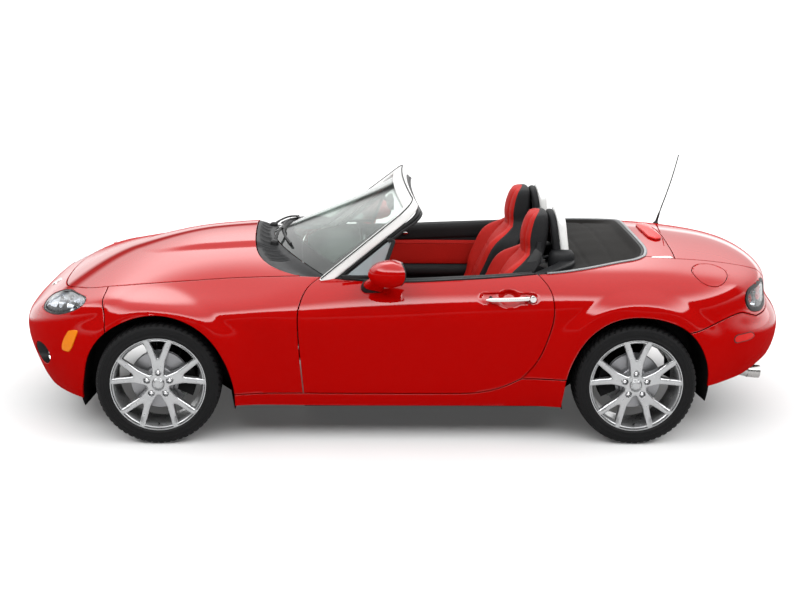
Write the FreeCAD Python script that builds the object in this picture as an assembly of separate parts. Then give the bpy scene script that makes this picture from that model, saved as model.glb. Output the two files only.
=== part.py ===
"""Two-seat convertible car with its soft top folded, in millimetres.

Frame: +X towards the nose, +Y towards the car's left side, +Z up. The origin is on the ground, midway along the
car's length and on its centreline. Every piece is a closed solid in its own STEP file, named after the piece.
The body skin is one formula, skin_gap, and the panels are cut from a thick sheet laid on it.
"""
import math
import os

import FreeCAD
import Part

from FreeCAD import Vector

# --------------------------------------------------------------------------------------------------
# Driving dimensions
# --------------------------------------------------------------------------------------------------
FRONT_AXLE_X = 1220.0
REAR_AXLE_X = -1110.0
TRACK_HALF = 745.0
TYRE_RADIUS = 304.0
ARCH_RADIUS = 348.0
NOSE_X = 1995.0
TAIL_X = -1995.0
HALF_WIDTH = 836.0            # at the doors, without the flares
FLARE = 24.0                  # how far each wheel arch stands proud
SHEET = 20.0                  # thickness of a pressed panel with its inner frame
GAP = 6.0                     # shut line round each lid
DOOR_GAP = 9.0                # shut line round each door, with room for its swing
SEAM = 3.0                    # seam between two fixed panels
SILL_TOP = 246.0
SILL_BOTTOM = 184.0
BELT_Z = 822.0
SEAT_Y = 365.0
SHOULDER_BLEND = 95.0

os.makedirs("parts", exist_ok=True)


# --------------------------------------------------------------------------------------------------
# Small helpers
# --------------------------------------------------------------------------------------------------
def save(name, *shapes):
    """Writes one node's solids to its STEP file."""
    solids = [solid for shape in shapes for solid in shape.Solids]
    body = solids[0] if len(solids) == 1 else Part.makeCompound(solids)
    if not solids or not body.isValid():
        print("CHECK", name, len(solids), body.isValid() if solids else None)
    body.exportStep("parts/%s.step" % name)


def mirrored(shape):
    """The same shape on the car's right side."""
    return shape.mirror(Vector(0, 0, 0), Vector(0, 1, 0))


def block(x0, x1, y0, y1, z0, z1):
    """A box given by its lowest and highest corners."""
    return Part.makeBox(x1 - x0, y1 - y0, z1 - z0, Vector(x0, y0, z0))


def rod(start, end, radius):
    """A round bar between two points."""
    start, end = Vector(*start), Vector(*end)
    return Part.makeCylinder(radius, (end - start).Length, start, end - start)


def prism(points, axis, low, high):
    """An outline of (a, b) corners, drawn across axis 'y' as (x, z) or 'z' as (x, y), run from low to high."""
    if axis == "y":
        corners = [Vector(a, low, b) for a, b in points]
        run = Vector(0, high - low, 0)
    elif axis == "z":
        corners = [Vector(a, b, low) for a, b in points]
        run = Vector(0, 0, high - low)
    else:
        corners = [Vector(low, a, b) for a, b in points]
        run = Vector(high - low, 0, 0)
    return Part.Face(Part.makePolygon(corners + corners[:1])).extrude(run)


def grown(points, amount):
    """The outline moved outwards by amount, corners mitred."""
    count = len(points)
    area = sum(points[i][0] * points[(i + 1) % count][1] - points[(i + 1) % count][0] * points[i][1]
               for i in range(count))
    turn = 1.0 if area > 0 else -1.0
    moved = []
    for i in range(count):
        (ax, ay), (bx, by), (cx, cy) = points[i - 1], points[i], points[(i + 1) % count]
        ux, uy = bx - ax, by - ay
        vx, vy = cx - bx, cy - by
        lu, lv = math.hypot(ux, uy), math.hypot(vx, vy)
        n1 = (turn * uy / lu, -turn * ux / lu)
        n2 = (turn * vy / lv, -turn * vx / lv)
        reach = 1.0 + n1[0] * n2[0] + n1[1] * n2[1]
        moved.append((bx + amount * (n1[0] + n2[0]) / reach, by + amount * (n1[1] + n2[1]) / reach))
    return moved


def arc_points(cx, cy, radius, start, end, count):
    """Corners along an arc, angles in degrees."""
    return [(cx + radius * math.cos(math.radians(start + (end - start) * i / count)),
             cy + radius * math.sin(math.radians(start + (end - start) * i / count))) for i in range(count + 1)]


def smooth(table, x):
    """Value at x of the smooth curve through a table of (place, value) rows, held level past its ends."""
    if x <= table[0][0]:
        return table[0][1]
    if x >= table[-1][0]:
        return table[-1][1]
    i = max(k for k in range(len(table) - 1) if table[k][0] <= x)

    def slope(k):
        if k == 0 or k == len(table) - 1:
            j = min(k, len(table) - 2)
            return (table[j + 1][1] - table[j][1]) / (table[j + 1][0] - table[j][0])
        before = (table[k][1] - table[k - 1][1]) / (table[k][0] - table[k - 1][0])
        after = (table[k + 1][1] - table[k][1]) / (table[k + 1][0] - table[k][0])
        return 0.0 if before * after <= 0 else 2.0 * before * after / (before + after)

    span = table[i + 1][0] - table[i][0]
    t = (x - table[i][0]) / span
    return (table[i][1] * (1 + 2 * t) * (1 - t) ** 2 + slope(i) * span * t * (1 - t) ** 2
            + table[i + 1][1] * t * t * (3 - 2 * t) + slope(i + 1) * span * t * t * (t - 1))


# --------------------------------------------------------------------------------------------------
# Body skin
# --------------------------------------------------------------------------------------------------
# Stations along the car: x, height on the centreline, height 600 out from it, outer fall per square metre
STATIONS = (
    (-1995, 640, 600, 1.5),
    (-1940, 720, 685, 1.5),
    (-1850, 785, 745, 1.5),
    (-1700, 832, 792, 1.5),
    (-1500, 868, 830, 1.5),
    (-1250, 893, 852, 1.4),
    (-900, 905, 858, 1.2),
    (-300, 925, 858, 0.9),
    (300, 928, 835, 0.6),
    (800, 915, 782, 0.35),
    (1200, 872, 751, 0.3),
    (1500, 800, 728, 0.3),
    (1700, 730, 665, 0.3),
    (1850, 662, 600, 0.3),
    (1995, 560, 480, 0.3),
)
CENTRE_TOP = [(row[0], row[1]) for row in STATIONS]
OUTER_TOP = [(row[0], row[2]) for row in STATIONS]
OUTER_FALL = [(row[0], row[3]) for row in STATIONS]
OUTER_Y = 600.0
# Profile of nose and tail on the centreline: height, x
NOSE_LINE = ((100, 1780), (160, 1868), (250, 1935), (350, 1972), (450, 1992), (520, NOSE_X), (620, 1985),
             (760, 1930))
TAIL_LINE = ((150, -1800), (250, -1880), (350, -1950), (450, -1985), (530, TAIL_X), (600, -1985), (640, -1955),
             (760, -1925), (860, -1870))
# Body half width against height, as a loss from HALF_WIDTH
SIDE_LOSS = ((100, 60), (200, 34), (300, 20), (450, 8), (600, 0), (700, 2), (800, 14), (900, 34))
# How the plan outline rounds in: where it starts, power across, power along
NOSE_PLAN = (900.0, 2.1, 4.0)
TAIL_PLAN = (-1000.0, 2.0, 3.2)


def top_height(x, y):
    """Height of the upper skin: a parabola across the middle 1200, then a steeper fall outside it."""
    centre, outer = smooth(CENTRE_TOP, x), smooth(OUTER_TOP, x)
    if abs(y) <= OUTER_Y:
        return centre - (centre - outer) * (y / OUTER_Y) ** 2
    out = abs(y) - OUTER_Y
    return outer - 2 * (centre - outer) / OUTER_Y * out - smooth(OUTER_FALL, x) * out * out / 1000.0


def flare(x, z):
    """How far a wheel arch stands out of the side at this place: full at the lip, gone 125 beyond it."""
    best = 0.0
    for axle in (FRONT_AXLE_X, REAR_AXLE_X):
        away = math.hypot(x - axle, z - TYRE_RADIUS)
        t = min(max((away - ARCH_RADIUS - 20.0) / 105.0, 0.0), 1.0)
        best = max(best, FLARE * (1 - t * t * (3 - 2 * t)))
    return best


def skin_gap(x, y, z):
    """Distance-like measure from the skin, negative inside: the side and the top joined by a round shoulder."""
    wide = HALF_WIDTH - smooth(SIDE_LOSS, z) + flare(x, z)
    along, across_power, along_power = 0.0, NOSE_PLAN[1], NOSE_PLAN[2]
    if x > NOSE_PLAN[0]:
        along = (x - NOSE_PLAN[0]) / (smooth(NOSE_LINE, z) - NOSE_PLAN[0])
    elif x < TAIL_PLAN[0]:
        along = (x - TAIL_PLAN[0]) / (smooth(TAIL_LINE, z) - TAIL_PLAN[0])
        across_power, along_power = TAIL_PLAN[1], TAIL_PLAN[2]
    side = (abs(y) / wide) ** across_power + along ** along_power
    side = (side ** (1 / 2.6) - 1) * wide
    top = (z - top_height(x, y)) * 0.95
    near = max(SHOULDER_BLEND - abs(side - top), 0.0)
    return max(side, top) + near * near / (4 * SHOULDER_BLEND)


def hit(origin, direction):
    """The point where a ray from inside the body leaves its skin."""
    low, high = 0.0, 1500.0
    for _ in range(32):
        middle = (low + high) / 2
        if skin_gap(*(origin[k] + direction[k] * middle for k in range(3))) < 0:
            low = middle
        else:
            high = middle
    return Vector(*(origin[k] + direction[k] * low for k in range(3)))


FAN_Z = 300.0                 # height of the line that the skin rays start from
FAN_X = 1150.0                # beyond this the rays fan round the nose and the tail


def side_y(x, z):
    """Half width of the skin at this place."""
    return hit((x, 0, z), (0, 1, 0)).y


def top_z(x, y):
    """Height of the skin over this place."""
    return hit((x, y, FAN_Z), (0, 0, 1)).z


def side_column(x_at, low_z, high_y, rows):
    """Skin points in a section across the car, from height low_z up and over to half width high_y.

    x_at gives the section's x at each height, so that an edge of a panel can curve.
    """
    start = math.atan2(low_z - FAN_Z, side_y(x_at(low_z), low_z))
    end = math.atan2(top_z(x_at(BELT_Z), high_y) - FAN_Z, high_y)
    points = []
    for k in range(rows + 1):
        lift = start + (end - start) * k / rows
        x = x_at(min(FAN_Z + HALF_WIDTH * math.tan(lift), BELT_Z + 20))
        points.append(hit((x, 0, FAN_Z), (0, math.cos(lift), math.sin(lift))))
    return points


def end_column(end, turn, low_z, reach, rows):
    """Skin points in an upright plane fanned round the nose (end 1) or tail (end -1), up to reach out in plan."""
    a = math.radians(turn)
    heading = (end * math.cos(a), math.sin(a))
    origin = (end * FAN_X, 0.0, FAN_Z)
    low = hit((end * FAN_X, 0, low_z), (heading[0], heading[1], 0))
    start = math.atan2(low_z - FAN_Z, math.hypot(low.x - end * FAN_X, low.y))
    finish = math.atan2(top_z(origin[0] + heading[0] * reach, heading[1] * reach) - FAN_Z, reach)
    points = []
    for k in range(rows + 1):
        lift = start + (finish - start) * k / rows
        points.append(hit(origin, (heading[0] * math.cos(lift), heading[1] * math.cos(lift), math.sin(lift))))
    return points


def polyhedron(faces):
    """A closed solid from flat triangles."""
    made = [Part.Face(Part.makePolygon([a, b, c, a])) for a, b, c in faces if (b - a).cross(c - a).Length > 1e-3]
    solid = Part.makeSolid(Part.makeShell(made))
    if solid.Volume < 0:
        solid.reverse()
    return solid


def between(outer, inner):
    """The closed solid between two grids of points of the same size."""
    faces = []
    last_i, last_j = len(outer) - 1, len(outer[0]) - 1
    for i in range(last_i):
        for j in range(last_j):
            a, b, c, d = outer[i][j], outer[i + 1][j], outer[i + 1][j + 1], outer[i][j + 1]
            faces += [(a, b, c), (a, c, d)]
            a, b, c, d = inner[i][j], inner[i + 1][j], inner[i + 1][j + 1], inner[i][j + 1]
            faces += [(a, c, b), (a, d, c)]
    loop = ([(i, 0) for i in range(last_i)] + [(last_i, j) for j in range(last_j)]
            + [(i, last_j) for i in range(last_i, 0, -1)] + [(0, j) for j in range(last_j, 0, -1)])
    for k, (i, j) in enumerate(loop):
        m, n = loop[(k + 1) % len(loop)]
        faces += [(outer[i][j], inner[i][j], inner[m][n]), (outer[i][j], inner[m][n], outer[m][n])]
    return polyhedron(faces)


def normal_at(point):
    """Outward normal of the skin, from the slope of skin_gap."""
    slopes = []
    for k in range(3):
        ahead, behind = [point.x, point.y, point.z], [point.x, point.y, point.z]
        ahead[k] += 3.0
        behind[k] -= 3.0
        slopes.append(skin_gap(*ahead) - skin_gap(*behind))
    return Vector(*slopes).normalize()


def panel(grid, thick=SHEET, taper=0.0):
    """A pressed panel: the grid of skin points and the same grid set in, its rim slanted in by taper."""
    inner = [[p - normal_at(p) * thick for p in row] for row in grid]
    last_i, last_j = len(grid) - 1, len(grid[0]) - 1
    if taper:
        moved = [list(row) for row in inner]
        for i in range(last_i + 1):
            for j in range(last_j + 1):
                m = min(max(i, 1), last_i - 1)
                n = min(max(j, 1), last_j - 1)
                if (m, n) != (i, j):
                    inward = (inner[m][n] - inner[i][j]).normalize()
                    moved[i][j] = inner[i][j] + inward * taper
        inner = moved
    return between(grid, inner)


def tube(rings):
    """A closed solid through rings of the same number of points, capped flat at both ends."""
    faces = []
    count = len(rings[0])
    for i in range(len(rings) - 1):
        for j in range(count):
            k = (j + 1) % count
            a, b, c, d = rings[i][j], rings[i + 1][j], rings[i + 1][k], rings[i][k]
            faces += [(a, b, c), (a, c, d)]
    for ring, flip in ((rings[0], True), (rings[-1], False)):
        for j in range(1, count - 1):
            a, b, c = ring[0], ring[j], ring[j + 1]
            faces.append((a, c, b) if flip else (a, b, c))
    return polyhedron(faces)


# --------------------------------------------------------------------------------------------------
# Panel outlines
# --------------------------------------------------------------------------------------------------
# Door edges seen from the side: height, x
DOOR_FRONT = ((248, 518), (309, 529), (397, 542), (506, 553), (615, 556), (674, 549), (728, 533), (787, 491),
              (842, 436))
DOOR_REAR = ((252, -385), (300, -491), (367, -577), (443, -633), (529, -669), (630, -690), (701, -696),
             (750, -684), (804, -649), (842, -622))
# Where the inner face of the door ends at the belt
DOOR_TOP_FRONT_X, DOOR_TOP_REAR_X = 424.0, -605.0
DOOR_TOP_Y = 710.0
DOOR_INNER_Y = 697.0
# Bonnet half width: x, half width
BONNET_SIDE = ((450, 680), (800, 650), (1200, 620), (1450, 575), (1600, 520), (1835, 0))
BONNET_NOSE_X = 1835.0
BONNET_COWL_X = 765.0
BUMPER_SEAM_X = 1470.0
# Boot lid half width: x, half width
LID_SIDE = ((-1990, 420), (-1850, 470), (-1700, 512), (-1390, 505))
LID_FRONT_X = -1385.0
LID_LOW_Z = 632.0
QUARTER_TOP_Y = 511.0         # half width of each rear quarter's upper edge beside the lid
REAR_CORNER_TURN = 50.0       # plan angle where each rear quarter ends and the tail lamp starts
REAR_BUMPER_TOP = 596.0
TOP_WELL = (-720.0, 555.0, 700.0)   # folded top's rim: where it starts, how far back it reaches, its half width


def bonnet_front_x(y):
    """Front edge of the bonnet, bowed forwards."""
    return BONNET_NOSE_X - y * y / 1000.0


def bonnet_rear_x(y):
    """Rear edge of the bonnet, bowed forwards round the cowl."""
    return BONNET_COWL_X - 0.31 * 1000 * (y / 680.0) ** 2


def well_y(x):
    """Half width of the well that the folded top lies in."""
    start, reach, wide = TOP_WELL
    return wide * max(1 - (max(start - x, 0) / reach) ** 2.2, 0) ** (1 / 2.6)


def well_x(y):
    """Rear edge of the same well."""
    start, reach, wide = TOP_WELL
    return start - reach * max(1 - (abs(y) / wide) ** 2.6, 0) ** (1 / 2.2)


def door_edge(table, z, hand):
    """x of a door's edge, or of the panel edge that faces it, half the shut line away measured square to it."""
    level = min(max(z, table[0][0] + 2), table[-1][0] - 2)
    slope = (smooth(table, level + 2) - smooth(table, level - 2)) / 4
    return smooth(table, z) + hand * DOOR_GAP / 2 * math.sqrt(1 + slope * slope)


def arch_low(x, otherwise):
    """Lower edge of a side panel at this x: the wheel arch's lip, or the given height away from it."""
    for axle in (FRONT_AXLE_X, REAR_AXLE_X):
        if abs(x - axle) < ARCH_RADIUS:
            return max(TYRE_RADIUS + math.sqrt(ARCH_RADIUS ** 2 - (x - axle) ** 2), otherwise)
    return otherwise


def bonnet_reach(turn, margin):
    """How far out in plan the bonnet's edge lies from the nose fan's centre at this angle."""
    a = math.radians(turn)
    low, high = 0.0, 1000.0
    for _ in range(30):
        middle = (low + high) / 2
        x, y = FAN_X + middle * math.cos(a), middle * math.sin(a)
        if x < bonnet_front_x(y) and abs(y) < smooth(BONNET_SIDE[:5], x):
            low = middle
        else:
            high = middle
    return low + margin


ROWS = 10

# --------------------------------------------------------------------------------------------------
# Outer panels
# --------------------------------------------------------------------------------------------------
# Front fender: x of each section; the last one lies along the door's front edge
FENDER_SECTIONS = (BUMPER_SEAM_X, 1400, 1310, 1220, 1130, 1040, 960, 905, 880, 868, 760, 660)
fender = []
for x in FENDER_SECTIONS:
    fender.append(side_column(lambda z, x=x: x, arch_low(x, SILL_TOP + SEAM), smooth(BONNET_SIDE, x) + GAP, ROWS))
fender.append(side_column(lambda z: door_edge(DOOR_FRONT, z, 1), SILL_TOP + GAP, DOOR_TOP_Y, ROWS))
front_fender = panel(fender)
save("left_front_fender", front_fender)
save("right_front_fender", mirrored(front_fender))

# Bonnet: lines along the car between its front and rear edges
bonnet = []
for i in range(13):
    share = -1 + i / 6.0
    line = []
    for k in range(11):
        along = k / 10.0
        y = share * (smooth(BONNET_SIDE[:5], BONNET_COWL_X) - 70)
        for _ in range(4):
            x = (bonnet_front_x(y) - GAP) * (1 - along) + (bonnet_rear_x(y) + GAP) * along
            y = share * (smooth(BONNET_SIDE[:5], x) - GAP / 2)
        line.append(Vector(x, y, top_z(x, y)))
    bonnet.append(line)
save("bonnet", panel(bonnet, SHEET, 10.0))

# Front bumper: sections beside the arch, then fanned round the nose
BUMPER_LOW = 165.0
half = []
for x in (BUMPER_SEAM_X + SEAM, 1500, 1530, 1555, 1569):
    high_y = smooth(BONNET_SIDE, x) + GAP
    half.append(side_column(lambda z, x=x: x, arch_low(x, BUMPER_LOW + 20), high_y, ROWS))
for turn in (54, 45, 36, 27, 18, 9, 0):
    half.append(end_column(1, turn, BUMPER_LOW, bonnet_reach(turn, GAP), ROWS))
other = [[Vector(p.x, -p.y, p.z) for p in column] for column in half[:-1]]
front_bumper = panel(half + other[::-1], 16.0)
INTAKE = [(-390, 250), (-300, 215), (300, 215), (390, 250), (400, 330), (330, 400), (-330, 400), (-400, 330)]
front_bumper = front_bumper.cut(prism(INTAKE, "x", 1600, 2050))
# Headlamp seen from the side: x, z; it goes through the bumper's shoulder
LAMP_OUTLINE = ((1788, 640), (1762, 700), (1711, 720), (1639, 716), (1586, 690), (1606, 648), (1657, 610),
                (1730, 592))
LAMP_LOW_Y = 480.0
lamp_hole = prism(LAMP_OUTLINE, "y", LAMP_LOW_Y, 900)
front_bumper = front_bumper.cut(lamp_hole).cut(mirrored(lamp_hole))
save("front_bumper", front_bumper)
lamp_grid = []
for x in (1560, 1600, 1640, 1680, 1720, 1760, 1800):
    lamp_grid.append(side_column(lambda z, x=x: x, 560, 380, 10))
headlamp = panel(lamp_grid, 70.0).common(prism(grown(LAMP_OUTLINE, -3.0), "y", LAMP_LOW_Y + 3, 900))
save("headlamps", headlamp, mirrored(headlamp))

# Rear quarter: from the door's rear edge round to the tail lamp
quarter = [side_column(lambda z: door_edge(DOOR_REAR, z, -1), SILL_TOP + GAP, DOOR_TOP_Y, ROWS)]
for x in (-755, -768, -800, -860, -940, -1025, -1110):
    quarter.append(side_column(lambda z, x=x: x, arch_low(x, SILL_TOP + SEAM), max(well_y(x) + SEAM, QUARTER_TOP_Y), ROWS))
for x in (-1190, -1270, -1340, -1385, -1420, -1456):
    quarter.append(side_column(lambda z, x=x: x, arch_low(x, 456), QUARTER_TOP_Y, ROWS))
for turn, low_z in ((62, 508), (56, 550), (REAR_CORNER_TURN, 604)):
    quarter.append(end_column(-1, turn, low_z, (QUARTER_TOP_Y + 2) / math.sin(math.radians(turn)), ROWS))
rear_quarter = panel(quarter)
# Fuel flap: an oval in the left shoulder, cut through square to the skin there
FLAP_PLACE = Vector(-1480.0, 738.0, top_z(-1480.0, 738.0))
FLAP_OUT = normal_at(FLAP_PLACE)
FLAP_SIZE = (98.0, 66.0)


def flap_prism(margin):
    """An oval bar through the fuel flap's place, square to the skin."""
    along = (Vector(1, 0, 0) - FLAP_OUT * FLAP_OUT.x).normalize()
    up = FLAP_OUT.cross(along)
    corners = []
    for a, b in arc_points(0, 0, 1.0, 0, 345, 23):
        reach = along * (a * (FLAP_SIZE[0] + margin)) + up * (b * (FLAP_SIZE[1] + margin))
        corners.append(FLAP_PLACE + reach - FLAP_OUT * 80)
    return Part.Face(Part.makePolygon(corners + corners[:1])).extrude(FLAP_OUT * 160)


save("left_rear_quarter", rear_quarter.cut(flap_prism(0.0)))
save("right_rear_quarter", mirrored(rear_quarter))
flap = panel(quarter, 8.0).common(flap_prism(-GAP))
save("fuel_flap", flap)

# Doors: the skin, folded over at the belt, and a flat inner face; the ends slant in towards the cabin
door, door_inner = [], []
for i in range(13):
    share = i / 12.0

    def door_x(z, share=share):
        return door_edge(DOOR_FRONT, z, -1) * (1 - share) + door_edge(DOOR_REAR, z, 1) * share

    door.append(side_column(door_x, SILL_TOP + GAP, DOOR_TOP_Y, ROWS))
for i, column in enumerate(door):
    share = i / 12.0
    line = []
    for k, p in enumerate(column):
        upper = min(max((p.z - 600) / 120.0, 0), 1)
        front_pull = 14 + upper * max(door[0][k].x - DOOR_TOP_FRONT_X, 0)
        rear_pull = 14 + upper * max(DOOR_TOP_REAR_X - door[-1][k].x, 0)
        x = p.x - front_pull * (1 - share) ** 4 + rear_pull * share ** 4
        line.append(Vector(x, DOOR_INNER_Y, min(p.z, column[-1].z - 14.0)))
    door_inner.append(line)
left_door = between(door, door_inner)
save("left_door", left_door)
save("right_door", mirrored(left_door))

# Boot lid: lines over the tail between its front and lower edges
lid = []
for i in range(13):
    share = -1 + i / 6.0
    line = []
    for k in range(12):
        y = share * 500
        for _ in range(3):
            start = math.atan2(top_z(LID_FRONT_X, y) - FAN_Z, -FAN_X - LID_FRONT_X)
            low = hit((-FAN_X, y, LID_LOW_Z), (-1, 0, 0))
            finish = math.atan2(LID_LOW_Z - FAN_Z, -FAN_X - low.x)
            lift = start + (finish - start) * k / 11.0
            p = hit((-FAN_X, y, FAN_Z), (-math.cos(lift), 0, math.sin(lift)))
            y = share * (smooth(LID_SIDE, p.x) - GAP / 2)
        line.append(p)
    lid.append(line)
save("boot_lid", panel(lid, SHEET, 10.0))

# Rear deck: between the folded top's well and the boot lid
deck = []
for i in range(11):
    y = (-1 + i / 5.0) * 504
    deck.append([Vector(x, y, top_z(x, y)) for x in
                 [(well_x(y) - SEAM) * (1 - k / 4.0) + (LID_FRONT_X + GAP) * k / 4.0 for k in range(5)]])
save("rear_deck", panel(deck))

# Rear bumper: sections beside the arch, then fanned round the tail
BUMPER_TAIL_LOW = 255.0
half = []
BUMPER_SECTIONS = ((-1459, 310, 452), (-1500, 262, 470), (-1560, 262, 500), (-1600, 262, 522))
for x, low_z, high_z in BUMPER_SECTIONS:
    column = []
    for k in range(7):
        z = low_z + (high_z - SEAM - low_z) * k / 6.0
        column.append(hit((x, 0, z), (0, 1, 0)))
    half.append(column)
for turn, low_z, high_z in ((53, 305, 570), (44, 345, REAR_BUMPER_TOP), (36, 345, REAR_BUMPER_TOP),
                            (31, 330, LID_LOW_Z - GAP), (22, 272, LID_LOW_Z - GAP),
                            (11, BUMPER_TAIL_LOW, LID_LOW_Z - GAP), (0, BUMPER_TAIL_LOW, LID_LOW_Z - GAP)):
    a = math.radians(turn)
    column = []
    for k in range(7):
        z = low_z + (high_z - SEAM - low_z) * k / 6.0
        column.append(hit((-FAN_X, 0, z), (-math.cos(a), math.sin(a), 0)))
    half.append(column)
other = [[Vector(p.x, -p.y, p.z) for p in column] for column in half[:-1]]
rear_bumper = panel(half + other[::-1], 16.0)
# Two screw holes for the number plate
PLATE_HOLE_RADIUS, PLATE_HOLE_SPACING, PLATE_HOLE_Z = 3.0, 178.0, 520.0
for y in (-PLATE_HOLE_SPACING / 2, PLATE_HOLE_SPACING / 2):
    hole = Part.makeCylinder(PLATE_HOLE_RADIUS, 200, Vector(-1850, y, PLATE_HOLE_Z), Vector(-1, 0, 0))
    rear_bumper = rear_bumper.cut(hole)
save("rear_bumper", rear_bumper)

# Tail lamps and the panel between and under them
lamp = []
for turn in (REAR_CORNER_TURN - 1.0, 46, 43, 40):
    a = math.radians(turn)
    column = []
    for k in range(7):
        z = REAR_BUMPER_TOP + SEAM + (764 - REAR_BUMPER_TOP) * k / 6.0
        column.append(hit((-FAN_X, 0, z), (-math.cos(a), math.sin(a), 0)))
    lamp.append(column)
tail_lamp = panel(lamp, 40.0)
save("tail_lamps", tail_lamp, mirrored(tail_lamp))

# --------------------------------------------------------------------------------------------------
# Lower body and structure
# --------------------------------------------------------------------------------------------------
FLOOR_LOW, FLOOR_TOP = 150.0, 165.0
CABIN_HALF = 690.0
FIREWALL_X = 500.0
BULKHEAD_X = -735.0
SILL_FRONT_X, SILL_REAR_X = 868.0, -735.0

rings = []
for x in (SILL_REAR_X, -480, -100, 300, 620, SILL_FRONT_X):
    rings.append([Vector(x, 692, FLOOR_LOW), Vector(x, side_y(x, SILL_BOTTOM) - 14, FLOOR_LOW + 16),
                  Vector(x, side_y(x, SILL_BOTTOM), SILL_BOTTOM), Vector(x, side_y(x, SILL_TOP), SILL_TOP),
                  Vector(x, 692, SILL_TOP)])
sill = tube(rings)
# Flat pads under each sill for a workshop jack
JACK_PAD_Z, JACK_PAD_Y = 142.0, 730.0
for x in (700.0, -620.0):
    sill = sill.fuse(block(x - 60, x + 60, JACK_PAD_Y - 30, JACK_PAD_Y + 30, JACK_PAD_Z, 176))
save("side_sills", sill, mirrored(sill))

# Floor with the tunnel for the gearbox and propeller shaft
TUNNEL_FOOT, TUNNEL_CREST, TUNNEL_TOP = 150.0, 110.0, 330.0
hat = [(-CABIN_HALF, FLOOR_LOW), (-TUNNEL_FOOT, FLOOR_LOW), (-TUNNEL_CREST, TUNNEL_TOP), (TUNNEL_CREST, TUNNEL_TOP),
       (TUNNEL_FOOT, FLOOR_LOW), (CABIN_HALF, FLOOR_LOW), (CABIN_HALF, FLOOR_TOP), (TUNNEL_FOOT + 12, FLOOR_TOP),
       (TUNNEL_CREST + 10, TUNNEL_TOP + 14), (-TUNNEL_CREST - 10, TUNNEL_TOP + 14), (-TUNNEL_FOOT - 12, FLOOR_TOP),
       (-CABIN_HALF, FLOOR_TOP)]
save("floor_pan", prism(hat, "x", BULKHEAD_X + 16, FIREWALL_X - 1))

# Firewall and rear bulkhead, each notched over the tunnel
notch = [(-TUNNEL_FOOT - 14, FLOOR_LOW), (-TUNNEL_CREST - 12, TUNNEL_TOP + 16), (TUNNEL_CREST + 12, TUNNEL_TOP + 16),
         (TUNNEL_FOOT + 14, FLOOR_LOW)]
wall = [(-CABIN_HALF, FLOOR_LOW)] + notch + [(CABIN_HALF, FLOOR_LOW)]
FIREWALL_TOP, BULKHEAD_TOP = 745.0, 640.0
save("firewall", prism(wall + [(640, FIREWALL_TOP), (-640, FIREWALL_TOP)], "x", FIREWALL_X, FIREWALL_X + 14))
WELL_FLOOR = 596.0
bulkhead = prism(wall + [(CABIN_HALF - 20, BULKHEAD_TOP), (-CABIN_HALF + 20, BULKHEAD_TOP)], "x", BULKHEAD_X,
                 BULKHEAD_X + 14)
shelf = block(-1268, BULKHEAD_X, -455, 455, WELL_FLOOR - 12, WELL_FLOOR)
save("rear_bulkhead", bulkhead.fuse(shelf))

# Front frame: two rails, the beam behind the bumper and the radiator between them
RAIL_IN, RAIL_OUT = 395.0, 455.0
rail = block(FIREWALL_X + 15, 1700, RAIL_IN, RAIL_OUT, 470, 560)
beam = block(1700, 1760, -560, 560, 430, 540)
radiator = block(1600, 1640, -330, 330, 220, 610)
save("front_frame", rail.fuse(beam).fuse(mirrored(rail)))
save("radiator", radiator)

# Grille behind the intake in the front bumper
GRILLE_DEPTH = 105.0          # how far behind the skin the grille sits
grille = []
for y in (-396, -300, -150, 0, 150, 300, 396):
    grille.append([Vector(hit((FAN_X, y, z), (1, 0, 0)).x - GRILLE_DEPTH, y, z) for z in (212, 270, 330, 402)])
save("grille", between(grille, [[p - Vector(16, 0, 0) for p in row] for row in grille]))

# Wheel arch liners: half rings with an inner wall, open to the arms below
LINER_RADIUS, LINER_THICK = 350.0, 4.0
LINER_IN = 466.0
LINER_OUT = ((FRONT_AXLE_X, 738.0), (REAR_AXLE_X, 762.0))   # axle, half width that its liners reach
liners = []
for axle, outer_y in LINER_OUT:
    band = arc_points(axle, TYRE_RADIUS, LINER_RADIUS + LINER_THICK, -8, 188, 20)
    band += arc_points(axle, TYRE_RADIUS, LINER_RADIUS, 188, -8, 20)
    wall = arc_points(axle, TYRE_RADIUS, LINER_RADIUS + 1, 40, 140, 12) + [(axle - 150, 540), (axle + 150, 540)]
    liner = prism(band, "y", LINER_IN, outer_y).fuse(prism(wall, "y", LINER_IN, LINER_IN + 4))
    liners += [liner, mirrored(liner)]
save("arch_liners", *liners)

# Boot tub: open at the top under the lid
tub = prism([(-1290, 420), (-1290, 795), (-1600, 765), (-1770, 680), (-1840, 590), (-1850, 420)], "y", -445, 445)
tub = tub.cut(block(-1836, -1302, -433, 433, 432, 900))
save("boot_tub", tub)

# --------------------------------------------------------------------------------------------------
# Windscreen and cowl
# --------------------------------------------------------------------------------------------------
PILLAR_FOOT = Vector(402, 668, 796)
PILLAR_TOP = Vector(-18, 598, 1133)
HEADER_RISE = Vector(30, 0, 22)
SCREEN_BOW = Vector(268, 0, 92)
run = Vector(PILLAR_TOP.x - PILLAR_FOOT.x, 0, PILLAR_TOP.z - PILLAR_FOOT.z).normalize()
out = Vector(run.z, 0, -run.x)
side = Vector(0, 1, 0)


def frame_ring(place, lean):
    """Four corners of the screen frame's section round a point, widened along lean."""
    return [place + lean * a + out * b for a, b in ((22, 24), (22, -24), (-22, -24), (-22, 24))]


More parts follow.
